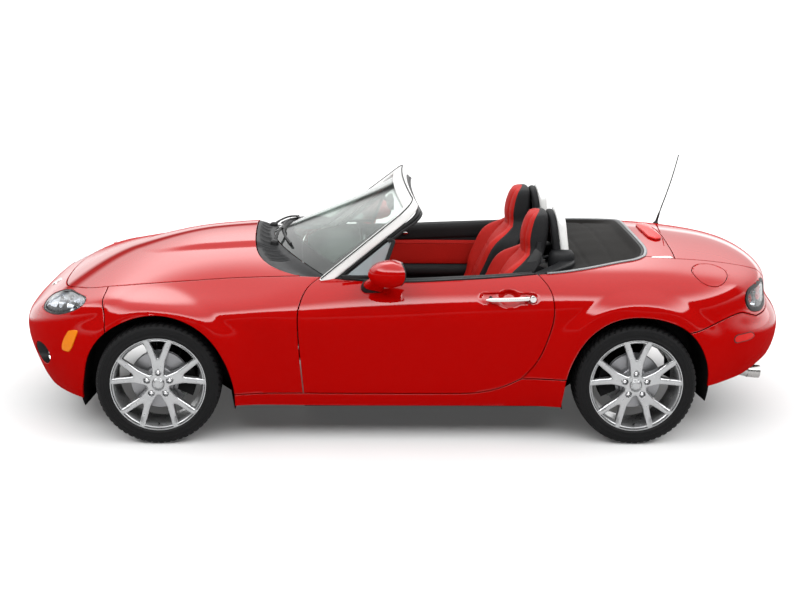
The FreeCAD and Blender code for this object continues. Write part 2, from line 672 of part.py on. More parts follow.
frame_rings = [frame_ring(PILLAR_FOOT, side), frame_ring(PILLAR_TOP, side + run)]
for k in range(1, 8):
    across = 1 - k / 4.0
    place = Vector(PILLAR_TOP.x, PILLAR_TOP.y * across, PILLAR_TOP.z) + HEADER_RISE * (1 - across * across)
    frame_rings.append(frame_ring(place, run))
frame_rings.append(frame_ring(Vector(PILLAR_TOP.x, -PILLAR_TOP.y, PILLAR_TOP.z), run - side))
frame_rings.append(frame_ring(Vector(PILLAR_FOOT.x, -PILLAR_FOOT.y, PILLAR_FOOT.z), side * -1))
save("windscreen_frame", tube(frame_rings))


def screen_point(up, across, lift=0.0):
    """A point of the windscreen: up from its lower edge, across from -1 to 1, lift along its normal."""
    edge = PILLAR_FOOT * (1 - up) + PILLAR_TOP * up + out * (10 + lift) - run * (26 * up)
    bow = SCREEN_BOW * (1 - up) + HEADER_RISE * up
    p = edge + bow * (1 - across * across)
    return Vector(p.x, (edge.y - 24) * across, p.z)


screen = [[screen_point(i / 6.0, -1 + k / 6.0) for k in range(13)] for i in range(7)]
screen_in = [[screen_point(i / 6.0, -1 + k / 6.0, -5.0) for k in range(13)] for i in range(7)]
save("windscreen_glass", between(screen, screen_in))

COWL_GAP = 8.0                # how far behind the bonnet's edge the cowl starts
cowl = []
for k in range(13):
    y = (-1 + k / 6.0) * 655
    base = screen_point(0.0, y / (PILLAR_FOOT.y - 24))
    start = bonnet_rear_x(y) - COWL_GAP
    line = []
    for i in range(4):
        x = start + (base.x + 14 - start) * i / 3.0
        z = (top_z(start, y) - 12) * (1 - i / 3.0) + (base.z - 12) * i / 3.0
        line.append(Vector(x, y, z))
    cowl.append(line)
save("cowl_panel", between(cowl, [[p - Vector(0, 0, 12) for p in row] for row in cowl]))


# --------------------------------------------------------------------------------------------------
# Bent bars
# --------------------------------------------------------------------------------------------------
def bar(points, radius, sides=8):
    """A round bar along a path of points, mitred at each."""
    points = [Vector(*p) for p in points]
    bar_rings = []
    up = Vector(0, 0, 1)
    first = (points[1] - points[0]).normalize()
    if abs(first.z) > 0.9:
        up = Vector(1, 0, 0)
    for i, p in enumerate(points):
        before = (p - points[i - 1]).normalize() if i else first
        after = (points[i + 1] - p).normalize() if i < len(points) - 1 else before
        middle = (before + after).normalize()
        u = middle.cross(up).normalize()
        v = u.cross(middle).normalize()
        up = v
        stretch = 1 / max(middle.dot(after), 0.5)
        size = radius if not isinstance(radius, (list, tuple)) else radius[i]
        bend = after - before
        flat = bend.normalize() if bend.Length > 1e-6 else u
        ring = []
        for k in range(sides):
            angle = 2 * math.pi * k / sides
            offset = u * (size * math.cos(angle)) + v * (size * math.sin(angle))
            offset += flat * (offset.dot(flat) * (stretch - 1))
            ring.append(p + offset)
        bar_rings.append(ring)
    return tube(bar_rings)


# --------------------------------------------------------------------------------------------------
# Cabin
# --------------------------------------------------------------------------------------------------
DASH_HALF = 640.0
dash = prism([(440, 765), (250, 812), (205, 795), (190, 700), (225, 600), (330, 560), (495, 600), (495, 740)], "y",
             -DASH_HALF, DASH_HALF)
STEER_WHEEL = Vector(45, SEAT_Y, 668)
STEER_AXIS = Vector(-math.cos(math.radians(24)), 0, math.sin(math.radians(24)))
column_start = STEER_WHEEL - STEER_AXIS * 46
shroud = Part.makeCylinder(34, 180, column_start - STEER_AXIS * 180, STEER_AXIS)
save("dashboard", dash.fuse(shroud))
ring = Part.makeTorus(170, 15, STEER_WHEEL, STEER_AXIS)
boss = Part.makeCylinder(55, 34, STEER_WHEEL - STEER_AXIS * 40, STEER_AXIS)
wheel_parts = [boss]
up_wheel = Vector(STEER_AXIS.z, 0, -STEER_AXIS.x)
for angle in (0, 180, 270):
    a = math.radians(angle)
    reach = side * math.cos(a) + up_wheel * math.sin(a)
    wheel_parts.append(Part.makeCylinder(11, 125, STEER_WHEEL + reach * 38 - STEER_AXIS * 14, reach))
save("steering_wheel", ring.multiFuse(wheel_parts))

console = [(188, 345), (188, 560), (80, 500), (-140, 478), (-160, 455), (-560, 455), (-610, 430), (-610, 345)]
save("centre_console", prism(console, "y", -100, 100))

# Seat along its middle: front x, front z, back x, back z, half width, its back's share, how far its sides stand proud
SEAT_ROWS = (
    (120, 400, 100, 168, 235, 0.80, 0),
    (130, 470, 70, 168, 240, 0.80, 10),
    (90, 500, 20, 168, 245, 0.80, 25),
    (-60, 480, -70, 168, 250, 0.80, 40),
    (-210, 455, -180, 168, 250, 0.80, 45),
    (-330, 450, -330, 168, 250, 0.80, 45),
    (-385, 500, -470, 200, 252, 0.80, 50),
    (-412, 600, -520, 500, 254, 0.94, 55),
    (-475, 750, -580, 700, 254, 0.94, 55),
    (-528, 860, -622, 840, 225, 0.94, 35),
    (-560, 935, -650, 940, 165, 0.94, 12),
    (-598, 1010, -680, 1020, 130, 0.94, 0),
    (-625, 1065, -690, 1070, 118, 0.94, 0),
    (-655, 1100, -682, 1103, 85, 0.94, 0),
)
SEAT_ACROSS = (-1.0, -0.93, -0.72, -0.55, 0.0, 0.55, 0.72, 0.93, 1.0)
SEAT_PROUD = (0.35, 1.0, 0.75, 0.0, 0.0, 0.0, 0.75, 1.0, 0.35)
front, back = [], []
for x, z, back_x, back_z, half_wide, back_share, proud in SEAT_ROWS:
    towards = Vector(x - back_x, 0, z - back_z).normalize()
    front.append([Vector(x, half_wide * a, z) + towards * (proud * b) for a, b in zip(SEAT_ACROSS, SEAT_PROUD)])
    back.append([Vector(back_x, half_wide * a * back_share, back_z) for a in SEAT_ACROSS])
seat = between(front, back)
save("left_seat", seat.translated(Vector(0, SEAT_Y, 0)))
save("right_seat", seat.translated(Vector(0, -SEAT_Y, 0)))

# Roll hoops behind the seats
HOOP_HALF, HOOP_TOP, HOOP_TUBE = 112.0, 1080.0, 21.0
hoops = []
for y in (SEAT_Y - 10, 10 - SEAT_Y):
    path = [(-808, y - HOOP_HALF, WELL_FLOOR + 46), (-722, y - HOOP_HALF, HOOP_TOP - 90)]
    for a in (150, 120, 90, 60, 30):
        path.append((-712, y + HOOP_HALF * math.cos(math.radians(a)), HOOP_TOP - 70 + 70 * math.sin(math.radians(a))))
    path += [(-722, y + HOOP_HALF, HOOP_TOP - 90), (-808, y + HOOP_HALF, WELL_FLOOR + 46)]
    hoops.append(bar(path, HOOP_TUBE))
hoop_foot = block(-838, -752, -560, 560, WELL_FLOOR + 1, WELL_FLOOR + 60)
save("roll_hoops", hoops[0].fuse(hoops[1]).fuse(hoop_foot))

# Folded soft top in its well
top_outline = []
for k in range(17):
    y = 640 * math.cos(math.radians(180.0 * k / 16))
    top_outline.append((well_x(y * 0.985) + 14, y * 0.985))
top_outline += [(-842, -630), (-842, 630)]
save("folded_soft_top", prism(top_outline, "z", WELL_FLOOR + 62, 838))

# Door trims, mirrors and quarter glass ride on the doors
trim = prism([(415, 420), (430, 560), (405, 760), (250, 790), (-560, 792), (-600, 760), (-620, 640), (-560, 470),
              (-470, 390), (-330, 340), (390, 340)], "y", 655, DOOR_INNER_Y)
save("left_door_trim", trim)
save("right_door_trim", mirrored(trim))

# Mirror: x half size, centre height and height half size at each y
MIRROR_ROWS = (
    (775, 40, 858, 32),
    (800, 72, 862, 52),
    (850, 86, 866, 66),
    (910, 84, 868, 64),
    (945, 62, 868, 48),
    (962, 30, 868, 24),
)
MIRROR_X = 126.0
rings = []
for y, half_x, centre_z, half_z in MIRROR_ROWS:
    rings.append([Vector(MIRROR_X + a, y, b) for a, b in
                  [(half_x * math.cos(math.radians(t)), centre_z + half_z * math.sin(math.radians(t)))
                   for t in range(0, 360, 30)]])
mirror_foot = bar([(150, 728, 826), (135, 770, 842), (128, 800, 856)], 20)
mirror = tube(rings).fuse(mirror_foot)
save("left_mirror", mirror)
save("right_mirror", mirrored(mirror))

GLASS_CORNERS = ((296, 838), (160, 838), (84, 985), (104, 990))
quarter_glass = prism(GLASS_CORNERS, "y", 0, 12)
quarter_glass.rotate(Vector(0, 0, 838), Vector(1, 0, 0), 17)
quarter_glass.translate(Vector(0, 702, 0))
save("left_quarter_glass", quarter_glass)
save("right_quarter_glass", mirrored(quarter_glass))

# --------------------------------------------------------------------------------------------------
# Wheels
# --------------------------------------------------------------------------------------------------
# Section of the rim's barrel and of the tyre: radius, distance out from the wheel's middle plane
BARREL = ((233, -97), (233, -89), (222, -85), (216, -55), (205, -25), (205, 25), (216, 55), (222, 87), (233, 93),
          (233, 101), (226, 101), (214, 91), (208, 60), (197, 27), (197, -27), (208, -57), (214, -90), (226, -97))
TYRE = ((234.5, -95), (250, -102.5), (270, -105), (290, -100), (300, -90), (304, -73), (304, 73), (300, 90),
        (290, 100), (270, 105), (250, 102.5), (234.5, 97), (234.5, 89), (255, 93), (275, 91), (290, 75), (294, 55),
        (294, -55), (290, -75), (275, -91), (255, -93), (234.5, -87))
HUB_FACE = 55.0
SPOKE_PAIRS = 5
LUG_CIRCLE = 114.3


def turned(section):
    """The closed section turned round the wheel's axis, which runs along y."""
    corners = [Vector(r, y, 0) for r, y in section]
    return Part.Face(Part.makePolygon(corners + corners[:1])).revolve(Vector(0, 0, 0), Vector(0, 1, 0), 360)


def wheel_parts_for(disc_radius):
    """Rim with five pairs of spokes, its hub and the brake disc, as one solid facing +y."""
    rim = turned(BARREL)
    hub = Part.makeCylinder(76, 34, Vector(0, HUB_FACE, 0), Vector(0, 1, 0))
    spokes = []
    for k in range(SPOKE_PAIRS):
        for lean in (-1, 1):
            middle = math.radians(90 + 360.0 * k / SPOKE_PAIRS)
            tip = middle + math.radians(14.7 * lean)
            start = Vector(60 * math.cos(middle), 0, 60 * math.sin(middle))
            end = Vector(208 * math.cos(tip), 0, 208 * math.sin(tip))
            along = (end - start)
            across = Vector(0, 1, 0).cross(along).normalize() * 10
            corners = [start + across, start - across, end - across, end + across]
            corners = [c + Vector(0, HUB_FACE + 9, 0) for c in corners]
            spokes.append(Part.Face(Part.makePolygon(corners + corners[:1])).extrude(Vector(0, 25, 0)))
    disc = Part.makeCylinder(disc_radius, 22, Vector(0, -17, 0), Vector(0, 1, 0))
    bell = Part.makeCylinder(74, HUB_FACE - 4, Vector(0, 5, 0), Vector(0, 1, 0))
    return rim.multiFuse([hub, disc, bell] + spokes)


TYRE_SOLID = turned(TYRE)
WHEELS = (("front_left", FRONT_AXLE_X, 1, 145.0), ("front_right", FRONT_AXLE_X, -1, 145.0),
          ("rear_left", REAR_AXLE_X, 1, 140.0), ("rear_right", REAR_AXLE_X, -1, 140.0))
for name, axle, hand, disc_radius in WHEELS:
    wheel = wheel_parts_for(disc_radius).translated(Vector(axle, TRACK_HALF, TYRE_RADIUS))
    tyre = TYRE_SOLID.translated(Vector(axle, TRACK_HALF, TYRE_RADIUS))
    save(name + "_wheel", wheel if hand > 0 else mirrored(wheel))
    save(name + "_tyre", tyre if hand > 0 else mirrored(tyre))

# --------------------------------------------------------------------------------------------------
# Suspension, steering and drive
# --------------------------------------------------------------------------------------------------
BALL_Y = 700.0
CALIPER_IN, CALIPER_OUT = 690.0, 785.0


def caliper(axle, middle_angle, disc_radius):
    """A brake caliper over the disc's edge, 5 clear of it on each side."""
    body = arc_points(axle, TYRE_RADIUS, 178, middle_angle - 24, middle_angle + 24, 6)
    body += arc_points(axle, TYRE_RADIUS, 96, middle_angle + 24, middle_angle - 24, 4)
    slot = arc_points(axle, TYRE_RADIUS, disc_radius + 6, middle_angle - 40, middle_angle + 40, 8)
    slot += arc_points(axle, TYRE_RADIUS, 60, middle_angle + 40, middle_angle - 40, 4)
    return prism(body, "y", CALIPER_IN, CALIPER_OUT).cut(prism(slot, "y", 723, 755))


def upright(axle, with_arm):
    """Hub carrier between the two ball joints, with its bearing housing and, in front, its steering arm."""
    post = prism([(axle - 26, 222), (axle + 26, 222), (axle + 34, 304), (axle + 22, 425), (axle - 22, 425),
                  (axle - 34, 304)], "y", 668, 706)
    bearing = Part.makeCylinder(44, 58, Vector(axle, 664, TYRE_RADIUS), Vector(0, 1, 0))
    parts = [bearing]
    if with_arm:
        parts.append(block(axle - 128, axle - 10, 670, 692, 262, 282))
    return post.multiFuse(parts)


knuckle = upright(FRONT_AXLE_X, True)
carrier = prism([(1186, 265), (1186, 345), (1100, 370), (1040, 340), (1040, 268), (1100, 240)], "y", 690, 712)
knuckle = knuckle.fuse(carrier).fuse(caliper(FRONT_AXLE_X, 180, 145.0))
save("front_left_knuckle", knuckle)
save("front_right_knuckle", mirrored(knuckle))


def arm(axle, z, tip_half, root_half, root_y, thick):
    """A wishbone from the frame out to its ball joint."""
    return prism([(axle - tip_half, BALL_Y - 6), (axle + tip_half, BALL_Y - 6), (axle + root_half, root_y),
                  (axle - root_half, root_y)], "z", z - thick / 2, z + thick / 2)


# Where the arms sit: height of the lower and upper arm
ARM_LOW, ARM_HIGH = 200.0, 442.0
front_member = block(FRONT_AXLE_X - 150, FRONT_AXLE_X + 150, -402, 402, 172, 232)
towers = block(FRONT_AXLE_X - 60, FRONT_AXLE_X + 60, 340, 402, 231, 465)
TIE_EYE_RADIUS, TIE_EYE_THICK, TIE_EYE_Y, TIE_EYE_HALF = 12.0, 10.0, 300.0, 25.0


def tie_down(edge_x, way, low_z):
    """A level plate with an upright eye for a transport strap, welded to a cross member and pointing its way."""
    plate = block(min(edge_x, edge_x + way * 52), max(edge_x, edge_x + way * 52), TIE_EYE_Y - TIE_EYE_HALF,
                  TIE_EYE_Y + TIE_EYE_HALF, low_z, low_z + TIE_EYE_THICK)
    eye = Part.makeCylinder(TIE_EYE_RADIUS, 40, Vector(edge_x + way * 27, TIE_EYE_Y, low_z - 20), Vector(0, 0, 1))
    return plate.cut(eye)


front_tie = tie_down(FRONT_AXLE_X + 150, 1, 190)
front_parts = [front_member, towers, mirrored(towers), front_tie, mirrored(front_tie)]
for build in (arm(FRONT_AXLE_X, ARM_LOW, 14, 140, 400, 22), arm(FRONT_AXLE_X, ARM_HIGH, 14, 58, 400, 18),
              rod((FRONT_AXLE_X - 2, 545, 205), (FRONT_AXLE_X - 2, 522, 612), 40)):
    front_parts += [build, mirrored(build)]
save("front_suspension", front_parts[0].multiFuse(front_parts[1:]))

rear_member = block(REAR_AXLE_X - 150, REAR_AXLE_X + 150, -402, 402, 190, 242)
rear_tie = tie_down(REAR_AXLE_X - 150, -1, 205)
differential = block(REAR_AXLE_X - 110, REAR_AXLE_X + 130, -105, 105, 225, 370)
rear_parts = [differential, rear_tie, mirrored(rear_tie)]
rear_tower = block(REAR_AXLE_X - 60, REAR_AXLE_X + 60, 340, 402, 231, 465)
half_shaft = rod((REAR_AXLE_X, 100, TYRE_RADIUS), (REAR_AXLE_X, 670, TYRE_RADIUS), 15)
for build in (rear_tower, half_shaft, upright(REAR_AXLE_X, False), caliper(REAR_AXLE_X, 0, 140.0),
              prism([(-1076, 265), (-1076, 345), (-990, 370), (-940, 340), (-940, 268), (-990, 240)], "y", 690, 712),
              arm(REAR_AXLE_X, 218, 14, 140, 400, 22), arm(REAR_AXLE_X, 432, 14, 58, 400, 18),
              rod((REAR_AXLE_X - 62, 560, 215), (REAR_AXLE_X - 62, 515, 560), 30)):
    rear_parts += [build, mirrored(build)]
save("rear_suspension", rear_member.multiFuse(rear_parts))

# Engine as one plain block, gearbox and propeller shaft behind it
save("engine_block", block(560, 1060, -230, 200, 250, 700))
gearbox = tube([[Vector(x, a * half_y, z0 + (z1 - z0) * b) for a, b in ((-1, 0), (1, 0), (1, 1), (-1, 1))]
                for x, half_y, z0, z1 in ((556, 130, 235, 320), (480, 100, 232, 318), (200, 72, 236, 312),
                                          (-60, 52, 240, 305))])
shaft = rod((-62, 0, 272), (REAR_AXLE_X + 132, 0, 285), 28)
save("gearbox_and_shaft", gearbox, shaft)

# Exhaust: pipe under the tunnel, silencer across the tail and two tips
PIPE_RADIUS = 25.0
pipe = bar([(900, -262, 300), (840, -262, 205), (700, -150, 196), (520, -60, 190), (-700, -60, 190),
            (-940, -175, 161), (-1290, -175, 161), (-1360, -175, 240), (-1400, -175, 300)], PIPE_RADIUS)
silencer = block(-1610, -1398, -420, 420, 250, 380)
tips = []
for hand in (1, -1):
    tips.append(bar([(-1600, 380 * hand, 300), (-1680, 470 * hand, 285), (-1800, 490 * hand, 280)], 30, 12))
save("exhaust", pipe.multiFuse([silencer] + tips))

# --------------------------------------------------------------------------------------------------
# Small outer pieces
# --------------------------------------------------------------------------------------------------
wipers = []
for start_y, end_y in ((330, -180), (-110, -600)):
    ends = [screen_point(0.03, start_y / 666.0, 22), screen_point(0.10, (start_y + end_y) / 1332.0, 20),
            screen_point(0.07, end_y / 666.0, 22)]
    wipers.append(bar([tuple(p) for p in ends], 7, 6))
save("wipers", *wipers)

ANTENNA_BASE = Vector(-1464, -560, 0)
ANTENNA_BASE.z = top_z(ANTENNA_BASE.x, ANTENNA_BASE.y) + 4
save("antenna", bar([(ANTENNA_BASE.x, ANTENNA_BASE.y, ANTENNA_BASE.z),
                     (ANTENNA_BASE.x - 10, ANTENNA_BASE.y, ANTENNA_BASE.z + 40),
                     (-1574, ANTENNA_BASE.y, 1240)], (16, 7, 3), 8))
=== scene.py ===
import math
import bpy
import numpy as np
from mathutils import Matrix


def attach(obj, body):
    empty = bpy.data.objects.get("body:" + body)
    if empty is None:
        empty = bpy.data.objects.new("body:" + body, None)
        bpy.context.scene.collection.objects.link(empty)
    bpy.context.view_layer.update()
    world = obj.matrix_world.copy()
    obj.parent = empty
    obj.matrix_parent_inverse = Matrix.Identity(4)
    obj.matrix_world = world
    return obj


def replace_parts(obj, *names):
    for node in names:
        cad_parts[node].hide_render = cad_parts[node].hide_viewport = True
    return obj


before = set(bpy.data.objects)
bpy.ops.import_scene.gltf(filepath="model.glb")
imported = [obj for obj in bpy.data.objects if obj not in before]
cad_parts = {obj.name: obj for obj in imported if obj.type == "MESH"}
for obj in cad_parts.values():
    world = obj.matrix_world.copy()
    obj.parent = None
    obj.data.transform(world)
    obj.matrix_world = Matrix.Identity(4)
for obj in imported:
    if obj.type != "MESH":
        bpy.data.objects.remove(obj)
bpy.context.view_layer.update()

# ---------------------------------------------------------------------------
# Studio. The car stands on a pale seamless floor under a large overhead light
# box, brightest along its lower edge, which is a good way above the horizon on
# the near side; a lit white wall stands behind the car.
# ---------------------------------------------------------------------------


class Shade:
    """One output socket of a shader tree, or the tree alone. An expression on shades adds its Math nodes."""

    def __init__(self, tree, socket=None):
        self.tree = tree
        self.socket = socket

    def node(self, kind, settings=None, inputs=None, outlet=0):
        """Any node: its settings first, then the values or links of its sockets."""
        made = self.tree.nodes.new(kind)
        for name, value in (settings or {}).items():
            setattr(made, name, value)
        for key, value in (inputs or {}).items():
            if isinstance(value, Shade):
                self.tree.links.new(value.socket, made.inputs[key])
            else:
                made.inputs[key].default_value = value
        return Shade(self.tree, made.outputs[outlet])

    def maths(self, operation, *values):
        return self.node("ShaderNodeMath", {"operation": operation}, dict(enumerate(values)))

    def __add__(self, other):
        return self.maths("ADD", self, other)

    def __sub__(self, other):
        return self.maths("SUBTRACT", self, other)

    def __rsub__(self, other):
        return self.maths("SUBTRACT", other, self)

    def __mul__(self, other):
        return self.maths("MULTIPLY", self, other)

    def __pow__(self, other):
        return self.maths("POWER", self, other)

    __radd__ = __add__
    __rmul__ = __mul__

    def ease(self, low, high):
        """0 below low, 1 above high, smooth between."""
        return self.node("ShaderNodeMapRange", {"interpolation_type": "SMOOTHSTEP"},
                         {0: self, 1: low, 2: high, 3: 0.0, 4: 1.0})

    def mix(self, first, second):
        """first where this is 0, second where it is 1; both are colours."""
        a, b = (v if isinstance(v, Shade) else (*v, 1) for v in (first, second))
        return self.node("ShaderNodeMix", {"data_type": "RGBA"}, {0: self, 6: a, 7: b}, 2)

    def xyz(self):
        return [self.node("ShaderNodeSeparateXYZ", None, {0: self}, k) for k in range(3)]

    def wave(self, axis, rate):
        """A sine along one axis of the object, rate radians to the metre."""
        place = self.node("ShaderNodeTexCoord", outlet=3).xyz()[axis]
        return place.maths("SINE", place * rate)

    def noise(self, scale, detail=2.0, roughness=0.5, place=None):
        """A value of smooth noise with so many swells to the metre."""
        at = place or self.node("ShaderNodeTexCoord", outlet=3)
        return self.node("ShaderNodeTexNoise", None,
                         {"Vector": at, "Scale": scale, "Detail": detail, "Roughness": roughness})

    def bump(self, strength, distance=0.001):
        """A normal raised by this value."""
        return self.node("ShaderNodeBump", None, {"Strength": strength, "Distance": distance, "Height": self})


def finish(name, gloss):
    """A material with one Principled shader, gloss set on its own sockets; gives the material, its shade and shader."""
    made = bpy.data.materials.new(name)
    made.use_nodes = True
    shader = made.node_tree.nodes["Principled BSDF"]
    for socket, value in gloss.items():
        shader.inputs[socket].default_value = value
    return made, Shade(made.node_tree), shader


def feed(shader, socket, shade):
    """Links what changes over the surface to one socket."""
    shade.tree.links.new(shade.socket, shader.inputs[socket])


floor_mesh = bpy.data.meshes.new("studio_floor")
floor_mesh.from_pydata([(-60, -60, 0), (60, -60, 0), (60, 60, 0), (-60, 60, 0)], [], [(0, 1, 2, 3)])
studio_floor = bpy.data.objects.new("studio_floor", floor_mesh)
bpy.context.scene.collection.objects.link(studio_floor)
floor_gloss = {"Roughness": 0.9, "Specular IOR Level": 0.1, "Emission Color": (1, 1, 1, 1), "Emission Strength": 0.06}
floor_finish, shade, shader = finish("studio_floor", floor_gloss)
feed(shader, "Base Color", shade.noise(3.0).mix((0.53, 0.53, 0.53), (0.55, 0.55, 0.55)))
floor_mesh.materials.append(floor_finish)

studio = bpy.data.worlds.new("studio")
bpy.context.scene.world = studio
studio.use_nodes = True
sky = Shade(studio.node_tree)
east, north, rise = sky.node("ShaderNodeTexCoord").xyz()


def climb(low, high):
    """0 below the elevation low and 1 above high, in degrees."""
    return rise.ease(math.sin(math.radians(low)), math.sin(math.radians(high)))


BOX_GLOW, WALL_GLOW, HORIZON_GLOW = 7.6, 3.4, 1.2
light_box = 0.05 + climb(32, 36) * (BOX_GLOW - climb(38, 66) * 6.1)
to_the_side = east.maths("ABSOLUTE", east).ease(0.15, 0.30)
round_the_tail = (east * -1.0).maths("MAXIMUM", east * -1.0, 0.0)
wall_foot = 0.08 + (rise + round_the_tail * 0.6).ease(0.15, 0.23) * 0.92
far_wall = wall_foot + (rise - 0.15).ease(0.0, 0.53) * (WALL_GLOW - to_the_side * 1.9)
far_wall = far_wall - climb(43, 58) * (2.9 - to_the_side * 1.8)
behind = (north * -1.0).ease(0.0, 0.3)
horizon = (1.0 - rise.ease(0.06, 0.12)) * HORIZON_GLOW
glow = light_box * (1.0 - behind) + far_wall * behind + horizon
studio.node_tree.nodes["Background"].inputs["Color"].default_value = (1, 1, 1, 1)
studio.node_tree.links.new(glow.socket, studio.node_tree.nodes["Background"].inputs["Strength"])
bpy.context.scene.view_settings.view_transform = "Standard"

lens = bpy.data.cameras.new("camera")
lens.sensor_width = 36.0
lens.lens = 70.047
lens.clip_end = 200
camera = bpy.data.objects.new("camera", lens)
bpy.context.scene.collection.objects.link(camera)
yaw, pitch, roll = (math.radians(a) for a in (2.83, 13.83, 0.99))
ahead = np.array([-math.sin(yaw) * math.cos(pitch), -math.cos(yaw) * math.cos(pitch), -math.sin(pitch)])
level = np.array([-math.cos(yaw), math.sin(yaw), 0.0])
upright = np.cross(level, ahead)
sideways = level * math.cos(roll) + upright * math.sin(roll)
upright = upright * math.cos(roll) - level * math.sin(roll)
CAMERA_PLACE = (0.415, 8.091, 2.518)
turned = np.array([sideways, upright, -ahead]).T
camera.matrix_world = Matrix([[*row, at] for row, at in zip(turned, CAMERA_PLACE)] + [[0, 0, 0, 1]])
bpy.context.scene.camera = camera

# ---------------------------------------------------------------------------
# Body skin. The car's outer form: a waisted flank that closes round the nose
# and the tail, under a crowned top, with a flared blister over each wheel.
# Every steel panel below is pressed to this form, and so every seam is flush.
# ---------------------------------------------------------------------------


def bend_through(knots, at):
    """A cubic through the knots (place, value) with an even turn at each, straight on past the ends."""
    x, y = knots[:, 0], knots[:, 1]
    gap = np.diff(x)
    pull = np.zeros((len(x), len(x)))
    pull[0, 0] = pull[-1, -1] = 1
    inner = np.arange(1, len(x) - 1)
    pull[inner, inner - 1], pull[inner, inner], pull[inner, inner + 1] = gap[:-1], 2 * (gap[:-1] + gap[1:]), gap[1:]
    rate = np.diff(y) / gap
    turn = np.linalg.solve(pull, np.concatenate([[0], 6 * np.diff(rate), [0]]))
    inside = np.clip(at, x[0], x[-1])
    k = np.clip(np.searchsorted(x, inside, side="right") - 1, 0, len(gap) - 1)
    h, a, b = gap[k], (x[k + 1] - inside) / gap[k], (inside - x[k]) / gap[k]
    value = a * y[k] + b * y[k + 1] + ((a ** 3 - a) * turn[k] + (b ** 3 - b) * turn[k + 1]) * h * h / 6
    first = rate[0] - turn[1] * gap[0] / 6
    last = rate[-1] + turn[-2] * gap[-1] / 6
    return value + first * np.minimum(at - x[0], 0) + last * np.maximum(at - x[-1], 0)


def smooth_step(t):
    """0 before 0, 1 after 1, with no corner."""
    t = np.clip(t, 0, 1)
    return t * t * (3 - 2 * t)


def larger(a, b, reach):
    """The larger of two values, rounded where they are within reach of each other."""
    near = np.maximum(reach - np.abs(a - b), 0)
    return np.maximum(a, b) + near ** 3 / (6 * reach ** 2)


FRONT_AXLE, REAR_AXLE, HUB_HEIGHT = 1.220, -1.110, 0.304

# Columns: length, then the top's height at the centre line, its height at the shoulders, and its fall outside them.
STATIONS = np.array([(-1.995, 0.665, 0.6, 1.5), (-1.94, 0.725, 0.685, 1.5), (-1.85, 0.797, 0.745, 1.5),
                     (-1.7, 0.860, 0.792, 1.5), (-1.5, 0.893, 0.83, 1.5), (-1.25, 0.915, 0.852, 1.4),
                     (-0.9, 0.918, 0.858, 1.2), (-0.3, 0.925, 0.858, 0.9), (0.3, 0.928, 0.835, 0.6),
                     (0.8, 0.911, 0.782, 0), (1.2, 0.863, 0.751, -0.2), (1.5, 0.782, 0.728, -0.2),
                     (1.7, 0.692, 0.665, 0), (1.85, 0.603, 0.6, 0.3), (1.995, 0.490, 0.48, 0.3)])
# Columns: height, then how far the nose or tail reaches, or what the flank loses in half width.
NOSE_LINE = np.array([(0.1, 1.75), (0.16, 1.835), (0.25, 1.90), (0.35, 1.943), (0.45, 1.963), (0.52, 1.960),
                      (0.62, 1.935), (0.76, 1.875)])
TAIL_LINE = np.array([(0.15, -1.79), (0.25, -1.87), (0.35, -1.95), (0.45, -1.985), (0.53, -1.978), (0.6, -1.935),
                      (0.64, -1.912), (0.76, -1.895), (0.86, -1.845)])
SIDE_LOSS = np.array([(0.1, 0.06), (0.2, 0.034), (0.3, 0.02), (0.45, 0.008), (0.6, 0), (0.7, 0.002), (0.8, 0.014),
                      (0.9, 0.034)])

# Columns: axle, then the radii of the flare's crest and foot above the wheel.
FLARES = ((FRONT_AXLE, 0.374, 0.432), (REAR_AXLE, 0.410, 0.466))
# Columns: length, then how far the edge between flank and top is rounded.
ROUNDING = np.array([(-2.0, .10), (-1.2, .09), (-.92, .08), (-.67, .11), (-.43, .135), (-.19, .155), (.06, .17),
                     (.3, .16), (.54, .13), (.73, .09), (.9, .085), (1.2, .085), (2.0, .10)])


def crown(x, y):
    """The top's height: a centre line, a parabola to the shoulders, and a steeper fall outside them."""
    centre, shoulder, fall = (bend_through(STATIONS[:, [0, k]], x) for k in (1, 2, 3))
    out = np.abs(y) - 0.6
    out = (out + np.sqrt(out ** 2 + 0.0016)) / 2
    return centre - (centre - shoulder) * ((y / 0.6) ** 2 - (out / 0.6) ** 2) - fall * out ** 2


def blister(x, z):
    """How far the wheel-arch flares stand out: full near the arch, gone past a foot that is wider above than beside."""
    best = np.zeros(np.broadcast(x, z).shape)
    for axle, crest, foot in FLARES:
        away = np.hypot(x - axle, z - HUB_HEIGHT)
        above = smooth_step(((z - HUB_HEIGHT) / np.maximum(away, 0.01) - 0.45) / 0.3)
        inner, outer = 0.352 + (crest - 0.352) * above, 0.50 + (foot - 0.50) * above
        ramp = larger(0 * away, (outer - away) / (outer - inner), 0.30)
        best = np.maximum(best, 0.027 * (1 - larger(0 * away, 1 - ramp, 0.30)))
    return best


def outside(p):
    """Below zero in the body and above it outside: the flank's superellipse and the crowned top, rounded together."""
    x, y, z = p[..., 0], np.abs(p[..., 1]), p[..., 2]
    wide = 0.836 - bend_through(SIDE_LOSS, z)
    nose = np.clip((x - 0.9) / (bend_through(NOSE_LINE, z) - 0.9), 0, None)
    tail = np.clip((x + 1.0) / (bend_through(TAIL_LINE, z) + 1.0), 0, None)
    round_nose = ((y / wide) ** 2.1 + nose ** 4.0) ** (1 / 2.1)
    round_tail = ((y / wide) ** 2.0 + tail ** 3.2) ** 0.5
    flank = 0.81 * (np.where(x < 0, round_tail, round_nose) - 1) * wide
    top = (z - crown(x, y)) * 0.95
    return larger(flank, top, bend_through(ROUNDING, x)) - 0.85 * blister(x, z)


